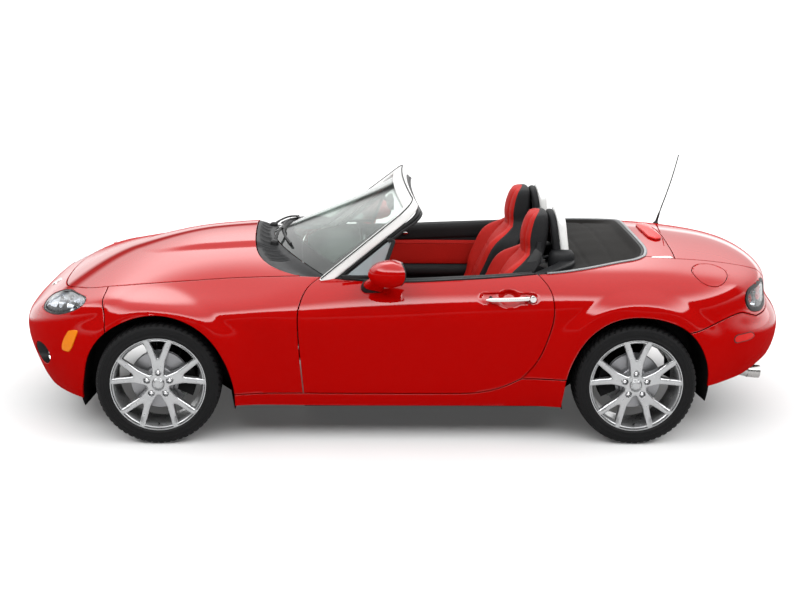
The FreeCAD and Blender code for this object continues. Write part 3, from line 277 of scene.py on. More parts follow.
def reach_skin(start, way, far, halvings):
    """Where the rays from start along way, no longer than far, leave the body."""
    low, high = np.zeros(start.shape[:-1]), np.full(start.shape[:-1], far)
    for _ in range(halvings):
        middle = (low + high) / 2
        inside = outside(start + way * middle[..., None]) < 0
        low, high = np.where(inside, middle, low), np.where(inside, high, middle)
    return start + way * low[..., None]


def onto_skin(p):
    """Points moved to the skin along rays from the body's middle line."""
    start = np.stack([np.clip(p[..., 0], -1.15, 1.15), 0 * p[..., 1], 0 * p[..., 2] + 0.3], -1)
    ray = p - start
    ray /= np.linalg.norm(ray, axis=-1, keepdims=True)
    return reach_skin(start, ray, 1.5, 26)


def skin_normal(p):
    """The skin's outward direction, from the differences of outside()."""
    steps = np.eye(3) * 0.002
    slope = np.stack([outside(p + s) - outside(p - s) for s in steps], -1)
    return slope / np.linalg.norm(slope, axis=-1, keepdims=True)


def line(*points, bow=True, steps=400):
    """A line through the points, rounded by a chord-length cubic, or straight between them, at even steps."""
    p = np.array(points, float)
    along = np.concatenate([[0], np.cumsum(np.linalg.norm(np.diff(p, axis=0), axis=1))])
    at = np.linspace(0, along[-1], steps)
    if bow and len(p) > 2:
        return np.stack([bend_through(np.stack([along, c], 1), at) for c in p.T], 1)
    return np.stack([np.interp(at, along, c) for c in p.T], 1)


def even(points, count):
    """count points at equal distances along a line."""
    along = np.concatenate([[0], np.cumsum(np.linalg.norm(np.diff(points, axis=0), axis=1))])
    return np.stack([np.interp(np.linspace(0, along[-1], count), along, c) for c in points.T], 1)


def joined(*lines):
    """Lines end to end as one, each new start dropped."""
    return np.vstack([lines[0]] + [b[1:] for b in lines[1:]])


def piece(name, points, faces, finish, body="root", slot=None, smooth=40):
    """One mesh of the car on its body: edges that turn less than smooth degrees are shaded round. Each point also gets
    an attribute for the paint's clear coat, 1 on faces that look up and near 0 on those that look down: painted shade
    that takes the coat off faces looking down, so that they show no reflection of the floor."""
    mesh = bpy.data.meshes.new(name)
    points = np.asarray(points, np.float32)
    faces = [np.asarray(f, np.int32) for f in (faces if isinstance(faces, list) else [faces]) if len(f)]
    corners = np.concatenate([f.ravel() for f in faces])
    sizes = np.concatenate([np.full(len(f), f.shape[1]) for f in faces])
    mesh.vertices.add(len(points))
    mesh.vertices.foreach_set("co", points.ravel())
    mesh.loops.add(len(corners))
    mesh.loops.foreach_set("vertex_index", corners)
    mesh.polygons.add(len(sizes))
    mesh.polygons.foreach_set("loop_start", np.concatenate([[0], np.cumsum(sizes)[:-1]]).astype(np.int32))
    mesh.update(calc_edges=True)
    mesh.validate()
    mesh.polygons.foreach_set("use_smooth", np.ones(len(mesh.polygons), bool))
    mesh.set_sharp_from_angle(angle=math.radians(smooth))
    for f in (finish if isinstance(finish, (list, tuple)) else [finish]):
        mesh.materials.append(f)
    upward = np.zeros(len(mesh.vertices) * 3, np.float32)
    mesh.vertex_normals.foreach_get("vector", upward)
    # Painted shade in the gloss: near 0 where the faces look down, so that the paint there shows no reflection of the
    # floor.
    painted_shade_on_gloss = mesh.attributes.new("painted_shade_on_gloss", "FLOAT", "POINT")
    painted_shade_on_gloss.data.foreach_set("value", (0.03 + 0.97 * smooth_step((upward[2::3] - 0.12) / 0.14)).astype(np.float32))
    made = bpy.data.objects.new(name, mesh)
    bpy.context.scene.collection.objects.link(made)
    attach(made, body)
    return made


def grid_faces(rows, columns, closed=False, ring=False):
    """Quads of a grid of rows by columns, numbered row by row; closed joins the last column to the first, and ring the
    last row to the first."""
    r, c = np.meshgrid(np.arange(rows - (not ring)), np.arange(columns - (not closed)), indexing="ij")
    d, e = (c + 1) % columns, (r + 1) % rows
    return np.stack([r * columns + c, r * columns + d, e * columns + d, e * columns + c], -1).reshape(-1, 4)


def far_from(outline, p):
    """Signed distance of flat points from a closed outline, below zero inside, and the nearest point on it."""
    a, b = outline, np.roll(outline, -1, axis=0)
    edge = b - a
    away = np.full(len(p), 9.0)
    near = np.zeros_like(p)
    turns = np.zeros(len(p), int)
    for start, run, end in zip(a, edge, b):
        share = np.clip(((p - start) @ run) / max(run @ run, 1e-12), 0, 1)
        foot = start + share[:, None] * run
        gap = np.linalg.norm(p - foot, axis=1)
        near = np.where((gap < away)[:, None], foot, near)
        away = np.minimum(away, gap)
        crosses = (start[1] > p[:, 1]) != (end[1] > p[:, 1])
        with np.errstate(divide="ignore", invalid="ignore"):
            at = start[0] + (p[:, 1] - start[1]) / (end[1] - start[1]) * run[0]
        turns += crosses & (p[:, 0] < at)
    return np.where(turns % 2 == 1, -away, away), near


def free_edges(faces):
    """The edges that only one face has, each as it runs in that face."""
    count = faces.shape[1]
    runs = np.concatenate([faces[:, [k, (k + 1) % count]] for k in range(count)])
    runs = runs[runs[:, 0] != runs[:, 1]]
    _, first, times = np.unique(np.sort(runs, axis=1), axis=0, return_index=True, return_counts=True)
    return runs[first[times == 1]]


def solid_panel(points, faces, depth=0.014, gap=0.0025, edge=0.002):
    """A pressed panel from its outer grid: each free edge is drawn in by the gap, rolled over a small radius and
    turned in by the depth, and an inner skin closes it."""
    rim = free_edges(faces)
    normal = skin_normal(points)
    along = points[rim[:, 1]] - points[rim[:, 0]]
    along /= np.maximum(np.linalg.norm(along, axis=1, keepdims=True), 1e-9)
    out = np.cross(along, normal[rim[:, 0]])
    total = np.zeros_like(points)
    np.add.at(total, rim[:, 0], out)
    np.add.at(total, rim[:, 1], out)
    ends = np.unique(rim)
    away = total[ends]
    length = np.maximum(np.linalg.norm(away, axis=1, keepdims=True), 1e-9)
    away = away / length * np.minimum(2 / length, 1.6)
    n = normal[ends]
    base = points[ends]
    points = points.copy()
    points[ends] = base - away * (gap + edge + 0.002)
    rings = [base - away * (gap + edge)]
    for turn in (30, 60, 90):
        a = math.radians(turn)
        rings.append(base - away * (gap + edge - edge * math.sin(a)) - n * edge * (1 - math.cos(a)))
    back = points - normal * depth
    rings.append(rings[-1] + (back[ends] - rings[-1]) * 0.97)
    place = np.full(len(points), -1)
    place[ends] = np.arange(len(ends))
    a, b = place[rim[:, 0]], place[rim[:, 1]]
    count, size = len(points), len(ends)
    walls = [np.stack([rim[:, 1], rim[:, 0], count + a, count + b], 1)]
    for start in range(count, count + (len(rings) - 1) * size, size):
        walls.append(np.stack([start + b, start + a, start + size + a, start + size + b], 1))
    behind = count + len(rings) * size
    walls.append(np.stack([behind - size + b, behind - size + a, behind + rim[:, 0], behind + rim[:, 1]], 1))
    everything = np.vstack([points] + rings + [back])
    if faces.shape[1] == 4:
        return everything, [np.vstack([faces, *walls, (faces + behind)[:, ::-1]])]
    return everything, [faces, (faces + behind)[:, ::-1], np.vstack(walls)]


def press(front, back, near, far, size=0.009):
    """A grid of points that fills four lines that meet at their ends: the blend of each pair of facing lines, less the
    blend of the corners, moved to the skin. front and back run the same way, and near and far join them."""
    def long(run):
        return np.linalg.norm(np.diff(run, axis=0), axis=1).sum()
    u = max(int(max(long(front), long(back)) / size), 3)
    v = max(int(max(long(near), long(far)) / size), 3)
    a, b, c, d = even(front, u), even(back, u), even(near, v), even(far, v)
    s, t = np.linspace(0, 1, u)[None, :, None], np.linspace(0, 1, v)[:, None, None]
    grid = (1 - t) * a + t * b + (1 - s) * c[:, None] + s * d[:, None]
    grid -= (1 - s) * (1 - t) * a[0] + s * (1 - t) * a[-1] + (1 - s) * t * b[0] + s * t * b[-1]
    points, faces = onto_skin(grid.reshape(-1, 3)), grid_faces(v, u)
    one = points[faces[len(faces) // 2]]
    outwards = np.cross(one[1] - one[0], one[2] - one[1]) @ skin_normal(one[:1])[0] > 0
    return points, faces if outwards else faces[:, ::-1]


def flat_view(outline):
    """Two directions and the line of sight of the flat view that faces a closed outline."""
    sight = np.cross(outline, np.roll(outline, -1, axis=0)).sum(0)
    sight /= np.linalg.norm(sight)
    sight *= np.sign(skin_normal(outline).sum(0) @ sight)
    right = np.cross((0, 0, 1) if abs(sight[2]) < 0.8 else (0, 1, 0), sight)
    right /= np.linalg.norm(right)
    return np.stack([right, np.cross(sight, right)], 1), sight


def in_two(quads, on):
    """Each quad as two triangles, split so that the new edge joins the two nodes that are on an outline."""
    both = on[quads]
    swap = both[:, 1] & both[:, 3] & ~(both[:, 0] & both[:, 2])
    first, second = quads[:, [0, 1, 3, 1, 2, 3]], quads[:, [0, 1, 2, 0, 2, 3]]
    return np.where(swap[:, None], first, second).reshape(-1, 3)


def opened(points, quads, outlines, keep=1):
    """A skin grid as triangles, less what is inside the closed outlines, or only that with keep=-1. Nodes close to an
    outline move onto it along the skin, and quads there are split along it."""
    points = points.copy()
    gone = np.zeros(len(points), bool)
    on = np.zeros(len(points), bool)
    views = []
    for outline in outlines:
        view, sight = flat_view(outline)
        ring = outline @ view
        flat = points @ view
        edges = np.linalg.norm(flat[quads[:, 0]] - flat[quads[:, 2]], axis=1)
        reach = np.zeros(len(points))
        np.maximum.at(reach, quads.ravel(), np.repeat(edges, 4))
        beside = ((points > outline.min(0) - 0.04) & (points < outline.max(0) + 0.04)).all(1)
        beside &= ((flat > ring.min(0) - 0.03) & (flat < ring.max(0) + 0.03)).all(1)
        gap = np.full(len(points), float(keep))
        foot = flat.copy()
        far, foot[beside] = far_from(ring, flat[beside])
        gap[beside] = far * keep
        move = beside & (np.abs(gap) < 0.42 * reach)
        shift = (foot[move] - flat[move]) @ view.T
        normal = skin_normal(points[move])
        lean = normal @ sight
        shift -= sight * ((normal * shift).sum(1) / np.where(np.abs(lean) < 0.15, 0.15, lean))[:, None]
        points[move] += shift
        gone |= (gap < 0) & ~move
        on |= move
        views.append((outline, view, ring))
    tris = in_two(quads, on)
    tris = tris[~gone[tris].any(1)]
    for outline, view, ring in views:
        middle = points[tris].mean(1)
        check = on[tris].all(1) & ((middle > outline.min(0) - 0.03) & (middle < outline.max(0) + 0.03)).all(1)
        inside = np.zeros(len(tris), bool)
        inside[check] = far_from(ring, middle[check] @ view)[0] * keep < 0
        tris = tris[~inside]
    used, back = np.unique(tris, return_inverse=True)
    return points[used], back.reshape(-1, 3)


def on_side(*places, bow=True, steps=400):
    """A seam given by length and height places, set on the left flank straight across."""
    p = line(*[(x, 0.4, z) for x, z in places], bow=bow, steps=steps)
    return across(p, (0, 1, 0))


def on_top(*places, bow=True, steps=400):
    """A seam given by length and width places, set on the upper skin straight up."""
    p = line(*[(x, y, 0.45) for x, y in places], bow=bow, steps=steps)
    return across(p, (0, 0, 1))


def on_end(way, *places, bow=True, steps=400):
    """A seam given by width and height places, set on the nose (way 1) or tail (way -1) straight along."""
    p = line(*[(way, y, z) for y, z in places], bow=bow, steps=steps)
    return across(p, (way, 0, 0))


def across(p, way):
    """Each point moved out along one direction until it meets the skin."""
    way = np.array(way, float)
    start = p * (1 - np.abs(way)) + (np.abs(way[0]) * way + np.abs(way[2]) * 0.45 * way)
    return reach_skin(start, way, 1.2, 30)


def mirrored(points, faces):
    """The same piece for the right side, its faces turned so that they still point outwards."""
    return points * (1, -1, 1), [f[:, ::-1] for f in faces]


def two_sided(line_points):
    """A left line from its far end to the middle, carried on to the right side."""
    return joined(line_points, (line_points * (1, -1, 1))[::-1])

# ---------------------------------------------------------------------------
# Paint. A plain bright red enamel under a thin clear coat, with the slight
# orange peel of sprayed paint.
# ---------------------------------------------------------------------------


red_paint, shade, shader = finish("red_paint", {"Roughness": 0.45, "Specular IOR Level": 0.0, "Coat Weight": 1.0,
                                                "Coat Roughness": 0.025, "Coat IOR": 1.5})
feed(shader, "Base Color", shade.noise(30.0, 3.0).mix((0.272, 0.0008, 0.0005), (0.290, 0.0012, 0.0008)))
feed(shader, "Normal", shade.noise(420.0, 1.0).bump(0.02, 0.0006))
# Painted shade in the gloss: the clear coat's weight comes from the piece's attribute, near 0 on faces that look down,
# so that they show no reflection of the floor; most of the coat also goes where the paint is seen edge-on.
grazing = shade.node("ShaderNodeLayerWeight", None, {"Blend": 0.5}, 1).ease(0.885, 0.955)
feed(shader, "Coat Weight", shade.node("ShaderNodeAttribute", {"attribute_name": "painted_shade_on_gloss"}, None, 2)
     * (1.0 - grazing * 0.92))

# ---------------------------------------------------------------------------
# Front wings. One pressing a side, from the bumper seam over the wheel to the
# door and up to the bonnet and the screen pillar's foot.
# ---------------------------------------------------------------------------
# Columns: angle above the forward direction, then the wheel opening's radius.
ARCHES = {FRONT_AXLE: np.array([(-30, .412), (-14.4, .392), (0, .368), (19, .362), (32, .359), (45, .354),
                                (58, .348), (70, .346), (87, .345), (104, .342), (117, .339), (130, .337),
                                (142, .335), (153, .335), (165, .341), (175, .350), (183, .361), (192.6, .376),
                                (205, .40)]), REAR_AXLE: np.array([(-30, .405), (-18.6, .380), (-7.5, .356),
                                                                   (4, .345), (14, .341), (23, .339), (34, .340),
                                                                   (45, .344), (57, .348), (67, .350), (78, .349),
                                                                   (91, .347), (105, .349), (115, .354), (123, .360),
                                                                   (130, .364), (138, .366), (155, .367),
                                                                   (173, .367), (183, .367), (200, .378)])}


def arch_place(axle, turn):
    """A place on the wheel opening's edge: away from the axle by a radius that is a smooth curve of the angle."""
    r = bend_through(ARCHES[axle], turn)
    return axle + r * np.cos(np.radians(turn)), HUB_HEIGHT + r * np.sin(np.radians(turn))


def arch(axle, first, last):
    """The wheel opening's edge on the skin, between two angles above the forward direction."""
    x, z = arch_place(axle, np.linspace(first, last, 300))
    return across(np.stack([x, 0 * x + 0.4, z], 1), (0, 1, 0))


def panel(name, shape, *hides, body="root"):
    """A red panel on its body, shown in place of the CAD pieces that it hides."""
    made = piece(name, *shape, red_paint, body, "red_paint")
    if hides:
        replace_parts(made, *hides)


def both_panels(name, shape, *hides):
    """A left panel and its mirror image."""
    panel(name + "_left", shape)
    panel(name + "_right", mirrored(*shape), *hides)


bonnet_side = on_top((1.480, .600), (1.427, .609), (1.324, .606), (1.178, .593), (1.032, .588), (.884, .592),
                     (.736, .606), (.613, .622), (.535, .634))
pillar_foot = on_top((.535, .634), (.487, .646), (.437, .657))
door_front = on_side((.437, .802), (.499, .764), (.527, .727), (.546, .674), (.549, .603), (.541, .477), (.526, .32),
                     (.519, .252))
door_front = onto_skin(joined(line((.437, .657, .802), (.499, .722, .764), (.527, .777, .727), (.546, .821, .674),
                                   steps=200), door_front[np.searchsorted(-door_front[:, 2], -.674):]))
front_seam = onto_skin(line((1.480, .600, .732), (1.477, .690, .702), (1.473, .765, .660), (1.470, .805, .610),
                            tuple(arch(FRONT_AXLE, 45, 46)[0])))
front_arch = arch(FRONT_AXLE, 45, 188.5)
sill_front = on_side(arch_place(FRONT_AXLE, 188.5), (.519, .252))
wing = press(front_arch, joined(bonnet_side, pillar_foot, door_front), front_seam[::-1], sill_front)
both_panels("front_wing", solid_panel(*wing), "left_front_fender", "right_front_fender")

# ---------------------------------------------------------------------------
# Bonnet. A broad pressing hinged at the back, with a raised centre whose
# shoulders run forwards and fade out over the front wheels.
# ---------------------------------------------------------------------------
bonnet_corner = on_top((1.480, .600), (1.527, .585), (1.580, .548), (1.623, .499))
bonnet_front = on_top((1.623, .499), (1.698, .387), (1.740, .240), (1.752, .110), (1.754, 0))
half = np.linspace(.634, 0, 9)
bonnet_back = on_top(*[(.772 - .290 * (y / .66) ** 5, y) for y in half])
left_edge = joined(bonnet_corner[::-1], bonnet_side)
right_edge = left_edge * (1, -1, 1)
bonnet, bonnet_faces = press(two_sided(bonnet_front)[::-1], two_sided(bonnet_back)[::-1], right_edge, left_edge,
                             size=0.010)


def bonnet_bulge(p):
    """The bonnet's raised centre: a flat-topped swelling whose edge runs in a long curve on each side, highest before
    the screen, and a soft edge that gets sharper to the outside."""
    edge = np.interp(p[:, 0], (.45, .76, .95, 1.15, 1.26, 1.34, 1.40), (.320, .312, .301, .280, .262, .205, .10))
    grown = smooth_step((1.42 - p[:, 0]) / 0.42)
    side = smooth_step((edge + 0.012 - np.abs(p[:, 1])) / 0.055)
    return p + skin_normal(p) * (0.016 * grown * side * smooth_step((p[:, 0] - .50) / .2))[:, None]


panel("bonnet_panel", solid_panel(bonnet_bulge(bonnet), bonnet_faces, depth=0.012), "bonnet", body="bonnet")

# ---------------------------------------------------------------------------
# Doors. A pressed outer skin on each, with a round scoop behind the handle. Its
# edges turn in, and the trim board closes the door from the inside.
# ---------------------------------------------------------------------------
belt = onto_skin(line((.437, .657, .802), (.38, .676, .799), (.32, .695, .797), (.19, .722, .795),
                      (.053, .735, .794), (-.191, .734, .804), (-.436, .721, .817), (-.625, .697, .830)))
door_rear = onto_skin(line((-.625, .697, .830), (-.662, .763, .796), (-.682, .803, .761), (-.692, .827, .717),
                           (-.692, .836, .634), (-.667, .833, .533), (-.61, .825, .404), (-.545, .818, .330)))
door_foot = on_side((.519, .252), (.10, .250), (-.20, .251), (-.33, .257), (-.443, .283), (-.545, .330))
door, door_faces = press(door_front, door_rear, belt, door_foot, size=0.0085)


def door_scoop(p):
    """The hollow behind the handle: an oval dish 26 mm deep, with a long shallow tray for the bar across it."""
    apart = np.hypot((p[:, 0] + .474) / .064, (p[:, 2] - .733) / .043)
    tray = np.hypot(np.maximum(np.abs(p[:, 0] + .472) - .118, 0), (p[:, 2] - .7355)) / .0215
    deep = .026 * (1 - smooth_step((apart - .45) / .55))
    return p - np.array([0, 1, 0.16]) * np.maximum(deep, .009 * (1 - smooth_step((tray - .78) / .30)))[:, None]


door = solid_panel(door_scoop(door), door_faces, depth=0.016)
panel("left_door_skin", door, "left_door", body="left_door")
panel("right_door_skin", mirrored(*door), "right_door", body="right_door")

# ---------------------------------------------------------------------------
# Rear wings. Each runs from the door over the wheel and round the tail lamp to
# the boot lid, with the fuel flap let into the left one.
# ---------------------------------------------------------------------------
well_side = on_top((-.625, .697), (-.736, .681), (-.943, .619), (-1.073, .562), (-1.150, .523), (-1.190, .480))
deck_side = on_top((-1.190, .480), (-1.27, .486), (-1.346, .489))
lid_side = joined(on_top((-1.346, .489), (-1.448, .476), (-1.570, .462), (-1.656, .450), (-1.747, .420),
                         (-1.797, .380)), on_end(-1, (.376, .775), (.352, .745), (.345, .700), (.350, .660),
                                                 (.365, .622))[4:])
tail_seam = joined(on_side(arch_place(REAR_AXLE, 133), (-1.446, .588), (-1.522, .611), (-1.601, .632), (-1.66, .634),
                           (-1.70, .620), (-1.735, .607)),
                   on_end(-1, (.600, .600), (.53, .600), (.45, .606), (.365, .622))[4:])
rear_arch = arch(REAR_AXLE, 4.6, 133)
sill_rear = on_side((-.545, .330), arch_place(REAR_AXLE, 4.6))
quarter, quarter_faces = press(rear_arch, joined(door_rear[::-1], well_side, deck_side, lid_side), sill_rear[::-1],
                               tail_seam)
tail_lamp = onto_skin(line((-1.673, .650, .698), (-1.679, .639, .725), (-1.713, .592, .746), (-1.772, .500, .753),
                           (-1.818, .412, .752), (-1.838, .378, .728), (-1.846, .372, .690), (-1.848, .388, .650),
                           (-1.827, .448, .625), (-1.795, .518, .615), (-1.747, .585, .621), (-1.714, .619, .634),
                           (-1.685, .641, .664), (-1.673, .650, .698), steps=200))[:-1]
flap_edge = onto_skin(line((-1.402, .629, .835), (-1.425, .560, .843), (-1.475, .515, .843), (-1.535, .510, .837),
                           (-1.577, .550, .825), (-1.585, .620, .812), (-1.560, .680, .795), (-1.515, .718, .782),
                           (-1.460, .722, .789), (-1.420, .690, .812), (-1.402, .629, .835), steps=160))[:-1]
flap = opened(quarter, quarter_faces, [flap_edge], keep=-1)
plain = opened(quarter, quarter_faces, [tail_lamp])
panel("rear_wing_left", solid_panel(*opened(quarter, quarter_faces, [tail_lamp, flap_edge])))
panel("rear_wing_right", mirrored(*solid_panel(*plain)), "left_rear_quarter", "right_rear_quarter")
panel("fuel_flap_cover", solid_panel(*flap, depth=0.006, gap=0.0012), "fuel_flap", body="fuel_flap")

# ---------------------------------------------------------------------------
# Boot lid and the deck before it. The lid turns down over the tail between
# the lamps; the deck closes the space behind the folded top's well.
# ---------------------------------------------------------------------------
lid_front = on_top((-1.346, .489), (-1.351, .399), (-1.353, .272), (-1.358, .10), (-1.359, 0))
lid_foot = on_end(-1, (.365, .622), (.2, .622), (0, .622))
lid = press(two_sided(lid_front), two_sided(lid_foot), lid_side, lid_side * (1, -1, 1))
panel("boot_lid_panel", solid_panel(*lid, depth=0.012), "boot_lid", body="boot_lid")
well_back = on_top((-1.190, .480), (-1.208, .420), (-1.209, .281), (-1.199, .12), (-1.196, 0))
deck = press(two_sided(well_back), two_sided(lid_front), deck_side, deck_side * (1, -1, 1))
panel("rear_deck_panel", solid_panel(*deck, depth=0.012), "rear_deck")

# ---------------------------------------------------------------------------
# Bumpers and sills. The bumpers are moulded covers that wrap the whole nose and
# tail; the sills are folded steel, and turn up behind the doors.
# ---------------------------------------------------------------------------
front_low = arch(FRONT_AXLE, 45, -16.4)
nose_foot = onto_skin(line((1.596, .72, .193), (1.64, .68, .193), (1.70, .60, .192), (1.76, .50, .195),
                           (1.81, .38, .200), (1.84, .22, .204), (1.85, 0, .206)))
headlamp = onto_skin(line((1.814, .515, .604), (1.812, .440, .622), (1.790, .372, .640), (1.734, .396, .665),
                          (1.646, .546, .690), (1.602, .630, .695), (1.577, .695, .691), (1.581, .725, .677),
                          (1.612, .726, .652), (1.664, .701, .626), (1.719, .660, .606), (1.770, .601, .599),
                          (1.800, .552, .600), (1.814, .515, .604), steps=240))[:-1]
mouth = on_end(1, (-.39, .255), (0, .222), (.39, .255), (.405, .325), (.335, .395), (0, .405), (-.335, .395),
               (-.405, .325), (-.39, .255), steps=240)[:-1]
fog_pocket = on_end(1,
                    *[(.524 + .078 * math.cos(a) - .004 * math.sin(a),
                       .374 + .054 * math.sin(a) + .016 * math.cos(a)) for a in np.linspace(0, 2 * math.pi, 25)],
                    steps=120)[:-1]
openings = [headlamp, headlamp * (1, -1, 1), mouth, fog_pocket, fog_pocket * (1, -1, 1)]
nose_top, nose_side = two_sided(joined(bonnet_corner, bonnet_front)), joined(front_seam, front_low)
nose = opened(*press(nose_top, two_sided(nose_foot), nose_side, nose_side * (1, -1, 1), size=0.010), openings)
panel("front_bumper_cover", solid_panel(*nose, depth=0.012), "front_bumper")

rear_low = arch(REAR_AXLE, 133, 183.2)
tail_foot = onto_skin(line(tuple(rear_low[-1]), (-1.53, .755, .287), (-1.608, .694, .294), (-1.679, .640, .304),
                           (-1.773, .563, .335), (-1.83, .46, .352), (-1.87, .34, .325), (-1.885, .25, .275),
                           (-1.89, .12, .256), (-1.89, 0, .255)))
tail = press(two_sided(tail_seam), two_sided(tail_foot), rear_low, rear_low * (1, -1, 1), size=0.010)
panel("rear_bumper_cover", solid_panel(*tail, depth=0.012), "rear_bumper")

sill_low = on_side(arch_place(FRONT_AXLE, 197.5), (.4, .184), (-.3, .184), arch_place(REAR_AXLE, -18.6))
sill_top = joined(sill_front, door_foot, sill_rear)
sill_fore = arch(FRONT_AXLE, 188.5, 197.5)
sill_aft = arch(REAR_AXLE, 4.6, -18.6)
both_panels("sill", solid_panel(*press(sill_top, sill_low, sill_fore, sill_aft, size=0.008)), "side_sills")

# ---------------------------------------------------------------------------
# Wheels. Cast alloy, painted silver: a barrel with a stepped lip, and five
# pairs of spokes that part from the bolt seats like branches. Each is bolted
# by five nuts, with a plain push-in cap, and carries its brake disc behind.
# ---------------------------------------------------------------------------
TRACK_HALF = 0.745
BOLT_CIRCLE = 0.05715
SPOKE_TURNS = [math.radians(90 + 72 * k) for k in range(5)]


def mottled(name, gloss, dark, light, swells, rough, relief=None):
    """A finish that wanders between two near colours by noise, given as swells to the metre and detail. rough is the
    noise, reach and base of its roughness, and relief the noise, strength and depth of its fine unevenness."""
    made, shade, shader = finish(name, gloss)
    feed(shader, "Base Color", shade.noise(*swells).mix(dark, light))
    feed(shader, "Roughness", shade.noise(*rough[:2]) * rough[2] + rough[3])
    if relief:
        feed(shader, "Normal", shade.noise(*relief[:2]).bump(*relief[2:]))
    return made


wheel_alloy = mottled("wheel_alloy", {"Metallic": 0.85, "Coat Weight": 0.35, "Coat Roughness": 0.06},
                      (0.36, 0.365, 0.37), (0.42, 0.425, 0.43), (60.0, 3.0), (90.0, 2.0, 0.10, 0.24),
                      (900.0, 1.0, 0.03, 0.0004))
disc_steel = mottled("disc_steel", {"Metallic": 0.9}, (0.24, 0.24, 0.25), (0.34, 0.34, 0.35), (240.0, 2.0),
                     (240.0, 2.0, 0.2, 0.28), (240.0, 2.0, 0.08, 0.0005))
cast_metal = mottled("cast_metal", {"Metallic": 0.6}, (0.10, 0.11, 0.10), (0.17, 0.18, 0.17), (80.0, 4.0),
                     (35.0, 2.0, 0.25, 0.45), (500.0, 3.0, 0.25, 0.0006))
bright_steel = mottled("bright_steel", {"Metallic": 1.0}, (0.72, 0.72, 0.73), (0.80, 0.80, 0.81), (120.0, 2.0),
                       (150.0, 2.0, 0.08, 0.12))


def spun(profile, turns=240):
    """A closed profile of (radius, out) places carried once round the axle: x = r cos a, z = r sin a, y = out."""
    r, out = np.array(profile, float).T
    a = np.linspace(0, 2 * math.pi, turns, endpoint=False)[:, None]
    points = np.stack([r * np.cos(a), out + 0 * a, r * np.sin(a)], -1)
    return facing_out(points.reshape(-1, 3), grid_faces(turns, len(r), closed=True, ring=True))


def together(*shapes):
    """Several shapes as one: their points stacked and their faces renumbered."""
    points, faces, count = [], {3: [], 4: []}, 0
    for p, fs in shapes:
        for f in (fs if isinstance(fs, list) else [fs]):
            if len(f):
                faces[f.shape[1]].append(f + count)
        points.append(p)
        count += len(p)
    return np.vstack(points), [np.vstack(f) for f in faces.values() if f]


def facing_out(points, faces):
    """Faces turned the other way if the closed shape's volume comes out below zero."""
    volume = 0.0
    for f in (faces if isinstance(faces, list) else [faces]):
        for k in range(1, f.shape[1] - 1):
            a, b, c = points[f[:, 0]], points[f[:, k]], points[f[:, k + 1]]
            volume += (a * np.cross(b, c)).sum()
    if volume >= 0:
        return points, faces
    return points, [f[:, ::-1] for f in faces] if isinstance(faces, list) else faces[:, ::-1]


def rounded(x, z, ax, az, bx, bz, a_half, b_half):
    """Distance from a straight bar between two places whose half width runs from a_half to b_half."""
    dx, dz = bx - ax, bz - az
    t = np.clip(((x - ax) * dx + (z - az) * dz) / (dx * dx + dz * dz), 0, 1)
    return np.hypot(x - ax - t * dx, z - az - t * dz) - (a_half + (b_half - a_half) * t)


def spoke_edge(x, z):
    """Flat distance from the edge of hub and spokes, below zero in the metal: the bars of each pair meet at the bolt
    seat and all are filleted into each other."""
    best = np.hypot(x, z) - 0.046
    for a in SPOKE_TURNS:
        c, s = math.cos(a), math.sin(a)
        best = -larger(-best, -rounded(x, z, 0.03 * c, 0.03 * s, 0.090 * c, 0.090 * s, 0.0235, 0.0260), 0.030)
        pair = np.full(x.shape, 1.0)
        for lean in (-1, 1):
            b = a + math.radians(14.9 * lean)
            bar = rounded(x, z, 0.072 * c, 0.072 * s, 0.226 * math.cos(b), 0.226 * math.sin(b), 0.0158, 0.0142)
            pair = -larger(-pair, -bar, 0.024)
        best = -larger(-best, -pair, 0.026)
    return best


